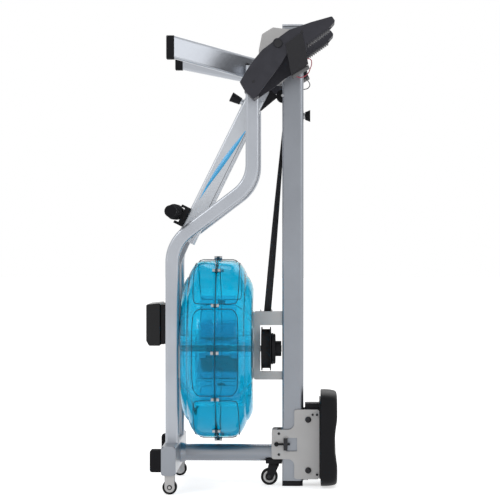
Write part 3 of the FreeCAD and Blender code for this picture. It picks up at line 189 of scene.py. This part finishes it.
SURFACES = {
    "silver_frame": (hexed("8e9299"), 0.34, dict(metal=0.85, vary=0.05, scale=9, bump=0.12, grain=1500,
                                                 coat=0.1)),
    # The next two are brighter copies of the silver_frame paint: painted highlight, standing in for the
    # stronger reflections on the mast, legs, frame tubes and rail cover.
    "silver_painted_strong_highlight": (hexed("c0c4ca"), 0.36, dict(metal=0.7, vary=0.05, scale=9, bump=0.1, grain=1500)),
    "silver_painted_highlight": (hexed("adb1b8"), 0.34, dict(metal=0.8, vary=0.06, scale=9, bump=0.12, grain=1500)),
    "light_plate": (hexed("b4b3b3"), 0.46, dict(metal=0.5, vary=0.05, scale=14, bump=0.15, grain=1200)),
    "steel": (hexed("a8aaad"), 0.3, dict(metal=1.0, vary=0.08, scale=60, bump=0.1, grain=700, stretch=(1,
                                                                                                       8,
                                                                                                       1))),
    "black_plastic": (hexed("1e1e21"), 0.46, dict(vary=0.12, scale=40, specular=0.14, bump=0.35,
                                                  grain=1600)),
    "gray_plastic": (hexed("3b3b41"), 0.5, dict(vary=0.1, scale=35, specular=0.14, bump=0.4, grain=1400)),
    "black_rubber": (hexed("17171a"), 0.7, dict(vary=0.14, scale=50, specular=0.14, bump=0.5, grain=1100)),
    "wheel_black": (hexed("141416"), 0.4, dict(vary=0.15, scale=70, specular=0.14, bump=0.2, grain=900)),
    "foam_grip": (hexed("1a1a1d"), 0.85, dict(vary=0.15, scale=90, specular=0.14, bump=0.8, grain=2200)),
    "seat_cover": (hexed("131316"), 0.48, dict(vary=0.12, scale=22, specular=0.14, bump=0.55, grain=520)),
    "tank_blue": ((0.05, 0.64, 0.82), 0.04, dict(vary=0.05, scale=8, transmission=0.94, coat=0.2,
                                                 rough_vary=0.02, ior=1.1, bump=0.04, grain=60,
                                                 specular=0.3)),
    "water_blue": ((0.7, 0.88, 0.93), 0.05, dict(vary=0.06, scale=9, transmission=0.96, ior=1.06,
                                                 rough_vary=0.02, bump=0.08, grain=40, specular=0.3)),
    "blue_rotor": ((0.42, 0.82, 0.94), 0.16, dict(vary=0.1, scale=40, bump=0.1, transmission=0.86,
                                                  ior=1.06, specular=0.3)),
    # dark_seal colours the bosses on the seam and, on the moulded lines, painted shade of the grooves.
    "dark_seal": (hexed("0c3d4c"), 0.55, dict(vary=0.12, scale=60, bump=0.2)),
    "monitor_black": (hexed("161618"), 0.3, dict(vary=0.1, scale=40, specular=0.14, bump=0.15, grain=1600,
                                                 coat=0.2)),
    "button_gray": (hexed("8b8e92"), 0.5, dict(vary=0.08, scale=80, bump=0.2)),
    "red_wire": (hexed("b03048"), 0.42, dict(vary=0.1, scale=90, bump=0.15)),
    "black_wire": (hexed("1a1a1d"), 0.42, dict(vary=0.15, scale=90, bump=0.15)),
    "accent_blue": (hexed("3fb2ea"), 0.35, dict(vary=0.16, scale=26, coat=0.2, bump=0.1)),
    "dark_steel": (hexed("2b2b2e"), 0.4, dict(metal=0.6, vary=0.14, scale=90, bump=0.15)),
    "screen_glass": (hexed("39453f"), 0.12, dict(vary=0.08, scale=20, coat=0.6)),
}
MATS = {name: material(name, colour, rough, **more) for name, (colour, rough, more) in SURFACES.items()}
MATS["webbing"] = woven("webbing", hexed("17171c"))
for entry in frame["record"]["subparts"]:
    node = NODES[entry["node"]]
    node.data.materials.clear()
    # Mast, legs and frame tubes take the brighter silver copies, a painted highlight.
    looks = {"mast_tube": "silver_painted_strong_highlight", "mast_yoke": "silver_painted_strong_highlight", "front_leg_near": "silver_painted_highlight",
             "front_leg_far": "silver_painted_highlight", "frame_tube_near": "silver_painted_highlight", "frame_tube_far": "silver_painted_highlight",
             "roller_axles": "dark_steel", "seat_lock_knob": "black_plastic", "foot_axle": "dark_steel",
             "tank_bolts": "steel"}.get(entry["node"], entry["material_slot"])
    node.data.materials.append(MATS[looks])
red_lead.data.materials.append(MATS["red_wire"])
black_lead.data.materials.append(MATS["black_wire"])


# Mesh helpers
def finish_piece(obj, body, mat, replaced=(), bevel=None, levels=0, segments=3):
    bpy.context.scene.collection.objects.link(obj)
    for face in obj.data.polygons:
        face.use_smooth = True
    if bevel:
        rounding = obj.modifiers.new("Bevel", "BEVEL")
        rounding.width = bevel
        rounding.segments = segments
        rounding.limit_method = "ANGLE"
        rounding.angle_limit = math.radians(32)
        rounding.harden_normals = False
    if levels:
        smooth = obj.modifiers.new("Subdivision", "SUBSURF")
        smooth.levels = levels
        smooth.render_levels = levels
    obj.data.materials.append(MATS[mat])
    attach(obj, body)
    if replaced:
        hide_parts(*replaced)
    return obj


def mesh_of(name, points, faces):
    mesh = bpy.data.meshes.new(name)
    mesh.from_pydata([tuple(p) for p in points], [], faces)
    bm = bmesh.new()
    bm.from_mesh(mesh)
    bmesh.ops.recalc_face_normals(bm, faces=bm.faces)
    bm.to_mesh(mesh)
    bm.free()
    mesh.update()
    return bpy.data.objects.new(name, mesh)


def slab(name, outline, low, high, place=None):
    """A plate cut from an outline in the XZ plane between two Y planes, all in millimetres."""
    put = place or (lambda x, y, z: Vector((x, y, z)) * MM)
    count = len(outline)
    points = [put(x, low, z) for x, z in outline] + [put(x, high, z) for x, z in outline]
    faces = [tuple(range(count)), tuple(reversed(range(count, 2 * count)))]
    for i in range(count):
        j = (i + 1) % count
        faces.append((i, i + count, j + count, j))
    return mesh_of(name, points, faces)


def turned(name, profile, centre, axis, steps=40, place=None, wave=None):
    """A turned form: profile pairs are (along the axis, radius) in millimetres."""
    put = place or (lambda x, y, z: Vector((x, y, z)) * MM)
    points = []
    for along, radius in profile:
        for k in range(steps):
            angle = 2 * math.pi * k / steps
            r = radius * (wave(along, angle) if wave else 1)
            a, b = r * math.cos(angle), r * math.sin(angle)
            if axis == "X":
                p = (centre[0] + along, centre[1] + a, centre[2] + b)
            elif axis == "Y":
                p = (centre[0] + a, centre[1] + along, centre[2] + b)
            else:
                p = (centre[0] + a, centre[1] + b, centre[2] + along)
            points.append(put(*p))
    faces = []
    rows = len(profile)
    for i in range(rows - 1):
        for k in range(steps):
            n = (k + 1) % steps
            faces.append((i * steps + k, i * steps + n, (i + 1) * steps + n, (i + 1) * steps + k))
    faces.append(tuple(reversed(range(steps))))
    faces.append(tuple(range((rows - 1) * steps, rows * steps)))
    return mesh_of(name, points, faces)


def tube_along(name, centres, radius, sides=10):
    """A round bead that follows a row of points."""
    points, faces = [], []
    last = len(centres) - 1
    for i, centre in enumerate(centres):
        ahead = (centres[min(i + 1, last)] - centres[max(i - 1, 0)]).normalized()
        across = ahead.cross(Vector((0.3, 0.4, 1.0))).normalized()
        up = across.cross(ahead).normalized()
        for k in range(sides):
            angle = 2 * math.pi * k / sides
            points.append(centre + (across * math.cos(angle) + up * math.sin(angle)) * radius)
    for i in range(last):
        for k in range(sides):
            n = (k + 1) % sides
            faces.append((i * sides + k, i * sides + n, (i + 1) * sides + n, (i + 1) * sides + k))
    faces.append(tuple(reversed(range(sides))))
    faces.append(tuple(range(last * sides, last * sides + sides)))
    return mesh_of(name, points, faces)


def ribbon(name, centres, acrosses, wide, thick):
    """A woven band through centres, each with the direction of its width, in metres."""
    points = []
    count = len(centres)
    for i in range(count):
        ahead = (centres[min(i + 1, count - 1)] - centres[max(i - 1, 0)]).normalized()
        across = acrosses[i].normalized()
        out = ahead.cross(across).normalized()
        for s, t in ((-1, -1), (1, -1), (1, 1), (-1, 1)):
            points.append(centres[i] + across * (s * wide / 2) + out * (t * thick / 2))
    faces = []
    for i in range(count - 1):
        for k in range(4):
            n = (k + 1) % 4
            faces.append((4 * i + k, 4 * i + n, 4 * (i + 1) + n, 4 * (i + 1) + k))
    faces.append((3, 2, 1, 0))
    faces.append(tuple(range(4 * (count - 1), 4 * count)))
    return mesh_of(name, points, faces)


# Rowing strap with its quarter turn
def rowing_strap():
    start = Vector((68.25, 0, 453)) * MM
    end = Vector((125.5, 0, 1102)) * MM
    centres, acrosses = [], []
    for i in range(41):
        share = i / 40
        turn = math.radians(90 * share)
        centres.append(start.lerp(end, share))
        acrosses.append(Vector((math.cos(turn), math.sin(turn), 0)))
    finish_piece(ribbon("rowing_strap", centres, acrosses, STRAP_WIDE, 0.0022), "root", "webbing",
                 replaced=["strap_run"], bevel=0.0005, segments=2)
    inside = [on_mast(-23.8, 0, -190 - 338 * i / 12) for i in range(13)]
    finish_piece(ribbon("strap_inside", inside, [Vector((0, 1, 0))] * 13, STRAP_WIDE, 0.0022), "mast",
                 "webbing",
                 replaced=["strap_inner"], bevel=0.0005, segments=2)
    tail = [on_mast(-43 + 18 * i / 8, 0, -540) for i in range(9)]
    finish_piece(ribbon("strap_tail", tail, [Vector((0, 1, 0))] * 9, STRAP_WIDE, 0.0024), "handle",
                 "webbing",
                 replaced=["strap_end"], bevel=0.0005, segments=2)


rowing_strap()


# Seat cushion: a moulded saddle with a dip across it
def seat_cushion():
    rings = [(0.0, 1.4), (0.02, 0.4), (0.08, 0.0), (0.35, 0.0), (0.62, 1.0), (0.8, 2.6), (0.91, 4.6),
             (0.97, 8.5), (1.0, 15.0), (1.0, 40.0), (0.98, 80.0)]
    low, high, base, thick = 2.5, 269.0, 221.7, 47.5
    middle = (low + high) / 2
    steps = 72
    points = []
    for share, inset in rings:
        half, tall = 125.0 - inset, (high - low) / 2 - inset
        for k in range(steps):
            angle = 2 * math.pi * k / steps
            c, s = math.cos(angle), math.sin(angle)
            y = math.copysign(abs(c) ** 0.42, c) * half
            z = math.copysign(abs(s) ** 0.42, s) * tall
            waist = 1 - 0.10 * math.exp(-((z - 70) / 40.0) ** 2)
            x = base + thick * share
            dip = 9 - (z + 8) ** 2 / 380.0 + 3.0 * math.exp(-(y / 26.0) ** 2)
            if share > 0.5 and dip > 0:
                x -= dip * (share - 0.5) / 0.5
            points.append(Vector((x, y * waist, z + middle)) * MM)
    faces = []
    for i in range(len(rings) - 1):
        for k in range(steps):
            n = (k + 1) % steps
            faces.append((i * steps + k, i * steps + n, (i + 1) * steps + n, (i + 1) * steps + k))
    faces.append(tuple(reversed(range(steps))))
    last = (len(rings) - 1) * steps
    faces.append(tuple(range(last, last + steps)))
    piece = finish_piece(mesh_of("seat_pad", points, faces), "carriage", "seat_cover",
                         replaced=["seat_cushion"], levels=1)


seat_cushion()


# Foot straps: a band over the foot and one down the pedal's outer side
def foot_straps():
    for side, label in ((-1, "near"), (1, "far")):
        y0, y1 = side * 147.0, side * 255.0
        route = []
        for i in range(11):
            share = i / 10
            arch = 4 * share * (1 - share)
            route.append(Vector((165.5 + 3 * arch, y0 + (y1 - y0) * share, 1158 - 4 * arch)) * MM)
        width = Vector((47, 0, 28))
        body = "pedal_" + label
        over = ribbon("strap_over_" + label, route, [width] * 11, 0.052, 0.0026)
        finish_piece(over, body, "webbing", replaced=["foot_strap_" + label], bevel=0.0006, segments=2)
        band = [(126, 1230), (170, 1261), (188, 1174), (141, 1146)]
        low, high = sorted((side * 253.0, side * 255.4))
        side_piece = slab("strap_side_" + label, band, low, high)
        finish_piece(side_piece, body, "webbing", bevel=0.0008, segments=2)


foot_straps()


# Tank shells: raised panels parted by grooves on the rim, and a step before the flat face
def tank_shells():
    outer = [(1.2, 252), (10, 252), (24, 252), (40, 251.6), (52, 249.5), (60, 245), (67, 238), (73, 229),
             (78, 219), (80.5, 213), (82.5, 205), (86, 203), (91, 196), (96, 186), (99.5, 176), (101, 164),
             (101, 140), (101, 96), (101, 60), (101, 26)]
    steps = 300
    for side, label in ((-1, "left"), (1, "right")):
        loop = [(a, r) for a, r in outer] + [(a - 4.5, r) for a, r in reversed(outer[15:])]
        loop += [(a - 3.5, r - 4) for a, r in reversed(outer[9:15])]
        loop += [(a - (1.5 if a > 30 else 0), r - 4.8) for a, r in reversed(outer[:9])]
        points = []
        for along, radius in loop:
            for k in range(steps):
                angle = 2 * math.pi * k / steps
                away = abs(math.degrees(angle) % 60 - 30)
                groove = math.exp(-(away / 1.7) ** 2)
                panel = 1.0 - math.exp(-(away / 9.0) ** 2)
                near_seam = min(1.0, max(0.0, (along - 4) / 8))
                r = radius
                if radius > 215:
                    r = radius - near_seam * (3.4 * groove + 1.8 * (1 - panel))
                elif radius > 120:
                    r = radius - 3.0 * groove
                points.append(Vector((TANK_X + side * along, r * math.cos(angle),
                                      TANK_Z + r * math.sin(angle))) * MM)
        faces = []
        rows = len(loop)
        for i in range(rows):
            j = (i + 1) % rows
            for k in range(steps):
                n = (k + 1) % steps
                faces.append((i * steps + k, i * steps + n, j * steps + n, j * steps + k))
        node = "tank_shell_" + label
        finish_piece(mesh_of("tank_" + label, points, faces), "root", "tank_blue", replaced=[node])
    # Moulded lines that run round each lobe of the rim: thin dark beads whose colour is painted shade of the
    # grooves
    for side, label in ((-1, "left"), (1, "right")):
        for lobe in range(6):
            middle = math.radians(180 + 60 * lobe)
            reach = math.radians(28.2)
            route = [(5, reach), (42, reach), (50, reach * 0.98), (57, reach * 0.93), (61, reach * 0.84),
                     (63, reach * 0.6), (63.4, 0), (63, -reach * 0.6), (61, -reach * 0.84), (57,
                                                                                             -reach * 0.93),
                     (50, -reach * 0.98), (42, -reach), (5, -reach)]
            curve = []
            for along, turn in route:
                high = 252.4 if along < 45 else (250.4 if along < 55 else 243.6)
                angle = middle + turn
                curve.append(Vector((TANK_X + side * along, high * math.cos(angle),
                                     TANK_Z + high * math.sin(angle))) * MM)
            finish_piece(tube_along("tank_groove_shade_%s_%d" % (label, lobe + 1), curve, 0.0011), "root",
                         "dark_seal")
    for k in range(12):
        angle = math.radians(30 * k)
        centre = (TANK_X, RIM_REACH * math.cos(angle), TANK_Z + RIM_REACH * math.sin(angle))
        boss = turned("tank_boss_%d" % (k + 1), [(-4.2, 4.2), (-4.0, 5.6), (4.0, 5.6), (4.2, 4.2)], centre,
                      "X", 20)
        finish_piece(boss, "root", "dark_seal", bevel=0.0004, segments=2)


tank_shells()


# Filler plug with a ribbed side
def tank_plug():
    centre = (-169, 62, 507)
    plug = turned("tank_plug", [(-12, 12), (-11.5, 14.5), (-4, 15.5), (-3.5, 17.5), (-0.4, 17.8), (0, 16)],
                  centre,
                  "X", 36, wave=lambda a, t: 1 + 0.03 * math.cos(12 * t) * (a < -3))
    finish_piece(plug, "root", "black_plastic", bevel=0.0005, segments=2)


tank_plug()


# Tread teeth along each pedal's open edge
def pedal_treads():
    first, last = Vector((184, 0, 1229.5)), Vector((246, 0, 1273))
    ahead = (last - first).normalized()
    out = Vector((ahead.z, 0, -ahead.x))
    teeth = 11
    pitch = (last - first).length / teeth
    outline = []
    for k in range(teeth):
        base = first + ahead * (pitch * k)
        for share, height in ((0.0, 0.2), (0.14, 0.6), (0.3, 3.2), (0.5, 4.0), (0.7, 3.2), (0.86, 0.6)):
            place = base + ahead * (pitch * share) + out * height
            outline.append((place.x, place.z))
    outline.append((last.x, last.z))
    for share in (1.0, 0.0):
        place = first.lerp(last, share) - out * 3.0
        outline.append((place.x, place.z))
    for side, label in ((-1, "near"), (1, "far")):
        low, high = sorted((side * 152.0, side * 251.0))
        finish_piece(slab("pedal_tread_" + label, outline, low, high), "pedal_" + label, "gray_plastic",
                     bevel=0.0005, segments=2)
        for number, (x, z) in enumerate(((105, 1231), (38, 1128), (170, 1263))):
            reach = side * 252.6
            rows = [(0.0, 7.5), (0.6 * side, 9.0), (3.0 * side, 9.0), (4.2 * side, 7.0), (4.3 * side, 3.0)]
            if number:
                rows = [(0.0, 3.4), (0.5 * side, 3.8), (1.6 * side, 3.2), (1.9 * side, 1.4)]
            screw = turned("pedal_screw_%s_%d" % (label, number + 1), rows, (x, reach, z), "Y", 24)
            finish_piece(screw, "pedal_" + label, "dark_steel", bevel=0.0004, segments=2)


pedal_treads()


# Accent stripe, a thin dark strip of painted shade along a groove, and screw heads on the mast
def mast_trim():
    stripe = [(17.5, -232), (14, -290), (8, -335), (1, -378), (-7, -418), (-16, -480), (-15.5, -432), (-13,
                                                                                                       -390),
              (-7, -345), (1, -303), (10, -266)]
    for side, label in ((-1, "near"), (1, "far")):
        low, high = sorted((side * 19.7, side * 20.25))
        finish_piece(slab("mast_stripe_" + label, stripe, low, high, on_mast), "mast", "accent_blue",
                     bevel=0.0001, segments=1)
        # A thin dark strip on each face near one edge: painted shade where the groove's shadow falls.
        line = [(17.9, -168), (19.1, -168), (19.1, -560), (17.9, -560)]
        finish_piece(slab("mast_groove_shade_" + label, line, low, high, on_mast), "mast", "dark_steel",
                     bevel=0.0001, segments=1)
        for number, (x, z) in enumerate(((-10, -545), (-20, -583), (12, -583), (14, -190))):
            rows = [(0.0, 2.6), (0.7 * side, 3.0), (1.8 * side, 2.5), (2.2 * side, 1.0)]
            head = turned("mast_screw_%s_%d" % (label, number + 1), rows, (x, side * 20.0, z), "Y", 20,
                          place=on_mast)
            finish_piece(head, "mast", "dark_steel", bevel=0.0003, segments=2)


mast_trim()


# Foam grip ribs, end caps and collars on the pull handle
def handle_trim():
    for side, label in ((-1, "near"), (1, "far")):
        rows = [(side * a, r) for a, r in ((206, 16.7), (214, 16.7), (217, 15.6), (218.6, 12.5), (219.0,
                                                                                                  6.0))]
        finish_piece(turned("grip_cap_" + label, rows, GRIP, "Y", 36, place=on_mast), "handle",
                     "foam_grip", bevel=0.0006, segments=2)
        rows = [(side * a, r) for a, r in ((47.5, 18.5), (48, 21.5), (53.5, 22.3), (54.5, 18.0), (60, 17.2),
                                           (61, 16.6))]
        finish_piece(turned("grip_collar_" + label, rows, GRIP, "Y", 40, place=on_mast), "handle",
                     "black_plastic", bevel=0.0005, segments=2)
        for band in range(7):
            at = side * (78 + band * 18)
            rows = [(at - 2.0, 16.4), (at - 1.2, 17.1), (at + 1.2, 17.1), (at + 2.0, 16.4)]
            finish_piece(turned("grip_band_%s_%d" % (label, band + 1), rows, GRIP, "Y", 36,
                                place=on_mast), "handle", "foam_grip")


handle_trim()


# Ribs on the monitor's back shell and a bezel round its screen
def monitor_trim():
    for number in range(6):
        z = 412 + number * 15.5
        rib = [(-213, z), (-209.2, z + 1.2), (-208.6, z + 3), (-209.2, z + 4.8), (-213, z + 6)]
        finish_piece(slab("monitor_rib_%d" % (number + 1), rib, -80, 80), "monitor", "black_plastic",
                     bevel=0.0005, segments=2)
    points, faces = [], []
    for x, y, low, high in ((-266.2, 72, 437, 506), (-267.6, 70.5, 438.5, 504.5), (-267.6, 66.5, 442.5,
                                                                                   500.5),
                            (-266.2, 65, 444, 499)):
        points += [Vector((x, s * y, z)) * MM for s, z in ((-1, low), (1, low), (1, high), (-1, high))]
    for i in range(3):
        for k in range(4):
            n = (k + 1) % 4
            faces.append((4 * i + k, 4 * i + n, 4 * (i + 1) + n, 4 * (i + 1) + k))
    for k in range(4):
        n = (k + 1) % 4
        faces.append((12 + k, 12 + n, n, k))
    finish_piece(mesh_of("monitor_bezel", points, faces), "monitor", "monitor_black", bevel=0.0004,
                 segments=2)
    points = [Vector((-266.0, y, z)) * MM for y, z in ((-66, 443), (66, 443), (66, 500), (-66, 500))]
    points += [Vector((-266.7, y, z)) * MM for y, z in ((-65, 444), (65, 444), (65, 499), (-65, 499))]
    faces = [(0, 1, 2, 3), (7, 6, 5, 4), (0, 4, 5, 1), (1, 5, 6, 2), (2, 6, 7, 3), (3, 7, 4, 0)]
    finish_piece(mesh_of("monitor_screen", points, faces), "monitor", "screen_glass")


monitor_trim()


# Caster hubs with a pale ring and an axle nut
def caster_trim():
    for x, y, z, r, body, label in ((-191, -253.2, 20, 12.5, "root", "near"), (-191, 227.0, 20, 12.5,
                                                                               "root", "far"),
                                    (77, -14.2, 24, 10.0, "swivel", "swivel")):
        nut = [(0.2, r * 0.52), (-0.4, r * 0.56), (-2.6, r * 0.5), (-3.2, r * 0.3), (-3.3, r * 0.1)]
        finish_piece(turned("caster_nut_" + label, nut, (x, y, z), "Y", 24), body, "dark_steel",
                     bevel=0.0003,
                     segments=2)
    for x, y, z, r, body, label in ((-191, -238, 20, 20, "wheel_near", "near"), (-191, 238, 20, 20,
                                                                                 "wheel_far", "far"),
                                    (77, 0, 24, 24, "swivel_wheel", "swivel")):
        half = 10.0 if r < 22 else 9.5
        for side, word in ((-1, "a"), (1, "b")):
            at = side * half
            rows = [(at - side * 0.4, r * 0.72), (at + side * 0.5, r * 0.70), (at + side * 0.9, r * 0.60),
                    (at + side * 0.5, r * 0.46), (at - side * 0.4, r * 0.44)]
            finish_piece(turned("caster_ring_%s_%s" % (label, word), rows, (x, y, z), "Y", 36), body,
                         "light_plate", bevel=0.0002, segments=1)


caster_trim()


# Spool: toothed flanges and a ratchet collar
def spool_trim():
    rows = [(54.4, 58), (54.2, 60.5), (57.2, 61.6), (57.6, 55), (78.6, 55), (79.2, 61.4), (81.9, 61),
            (82.2, 50)]
    cover = turned("spool_rim", rows, (0, 0, TANK_Z), "X", 96,
                   wave=lambda a, t: 1 + 0.012 * (math.cos(24 * t) > 0) * (a > 78 or a < 58))
    finish_piece(cover, "spool", "black_plastic", bevel=0.0004, segments=2)
    rows = [(82.4, 34), (82.6, 42.4), (86, 44.2), (88, 41.6), (93.2, 42), (94.6, 38), (94.7, 30)]
    finish_piece(turned("spool_ratchet", rows, (0, 0, TANK_Z), "X", 72,
                        wave=lambda a, t: 1 + 0.05 * ((9 * t / (2 * math.pi)) % 1)), "spool",
                 "black_plastic",
                 bevel=0.0004, segments=2)


spool_trim()


# Cover on the rail's top end, in the brighter silver of painted highlight, head screws on the legs, clips and
# the seat's rear screws
def frame_trim():
    cover = [(113.7, 1296.8), (113.7, 1304.5), (174.3, 1304.5), (174.3, 1296.8)]
    finish_piece(slab("rail_top_cover", cover, -35.3, 35.3), "root", "silver_painted_highlight",
                 bevel=0.0028)
    for number, (x, y, z, body) in enumerate(((18, -104.6, 1183, "root"), (200, -50.2, 203, "carriage"),
                                              (212, -50.2, 203, "carriage"), (212, -50.2, 34, "carriage"),
                                              (187.3, -49.2, 189, "carriage"), (187.3, -49.2, 45.7,
                                                                                "carriage"))):
        r = 8.6 if number > 3 else (6.6 if number == 0 else 3.4)
        rows = [(0.4, r * 0.9), (0.2, r), (-2.2, r), (-4.0, r * 0.72), (-4.4, r * 0.4), (-3.0, r * 0.36),
                (-2.9, r * 0.1)]
        finish_piece(turned("screw_head_%d" % (number + 1), rows, (x, y, z), "Y", 28), body, "dark_steel",
                     bevel=0.0003, segments=2)


frame_trim()


def seen_rays(tree):
    """One for rays from the camera, through glass or off a glossy surface, and nought for all others."""
    path = tree.nodes.new("ShaderNodeLightPath")
    last = path.outputs["Is Camera Ray"]
    for kind in ("Is Transmission Ray", "Is Glossy Ray"):
        either = tree.nodes.new("ShaderNodeMath")
        either.operation = "MAXIMUM"
        tree.links.new(last, either.inputs[0])
        tree.links.new(path.outputs[kind], either.inputs[1])
        last = either.outputs["Value"]
    return last


# Light, floor and surroundings
def surroundings():
    scene = bpy.context.scene
    scene.view_settings.view_transform = "Standard"
    world = bpy.data.worlds.new("World")
    scene.world = world
    world.use_nodes = True
    tree = world.node_tree
    tree.nodes.clear()
    out = tree.nodes.new("ShaderNodeOutputWorld")
    mix = tree.nodes.new("ShaderNodeMixShader")
    seen = tree.nodes.new("ShaderNodeBackground")
    seen.inputs["Color"].default_value = (1, 1, 1, 1)
    soft = tree.nodes.new("ShaderNodeBackground")
    soft.inputs["Color"].default_value = (1, 1, 1, 1)
    soft.inputs["Strength"].default_value = 0.62
    tree.links.new(seen_rays(tree), mix.inputs[0])
    tree.links.new(soft.outputs[0], mix.inputs[1])
    tree.links.new(seen.outputs[0], mix.inputs[2])
    tree.links.new(mix.outputs[0], out.inputs["Surface"])
    for name, place, aim, wide, power in (("key", (-2.6, -3.4, 3.2), (0, 0, 0.6), 1.4, 42),
                                          ("fill", (3.4, -2.6, 1.8), (0, 0, 0.6), 1.6, 16),
                                          ("back", (0.6, 3.4, 3.4), (0, 0, 0.7), 2.4, 24)):
        data = bpy.data.lights.new(name, "AREA")
        data.size = wide
        data.energy = power
        lamp = bpy.data.objects.new(name, data)
        scene.collection.objects.link(lamp)
        lamp.location = place
        lamp.rotation_euler = (Vector(aim) - Vector(place)).to_track_quat("-Z", "Y").to_euler()
    mesh = bpy.data.meshes.new("floor")
    mesh.from_pydata([(-30, -30, 0), (30, -30, 0), (30, 30, 0), (-30, 30, 0)], [], [(0, 1, 2, 3)])
    floor = bpy.data.objects.new("floor", mesh)
    scene.collection.objects.link(floor)
    pale = bpy.data.materials.new("floor")
    pale.use_nodes = True
    nodes = pale.node_tree.nodes
    floor_shader = nodes["Principled BSDF"]
    floor_shader.inputs["Base Color"].default_value = (0.93, 0.93, 0.93, 1)
    floor_shader.inputs["Roughness"].default_value = 0.9
    floor_shader.inputs["Specular IOR Level"].default_value = 0.0
    glow = nodes.new("ShaderNodeEmission")
    glow.inputs["Strength"].default_value = 0.6
    both = nodes.new("ShaderNodeAddShader")
    shown = nodes.new("ShaderNodeMixShader")
    links = pale.node_tree.links
    links.new(floor_shader.outputs["BSDF"], both.inputs[0])
    links.new(glow.outputs["Emission"], both.inputs[1])
    links.new(seen_rays(pale.node_tree), shown.inputs[0])
    links.new(floor_shader.outputs["BSDF"], shown.inputs[1])
    links.new(both.outputs["Shader"], shown.inputs[2])
    links.new(shown.outputs["Shader"], nodes["Material Output"].inputs["Surface"])
    mesh.materials.append(pale)


surroundings()
bpy.context.view_layer.update()
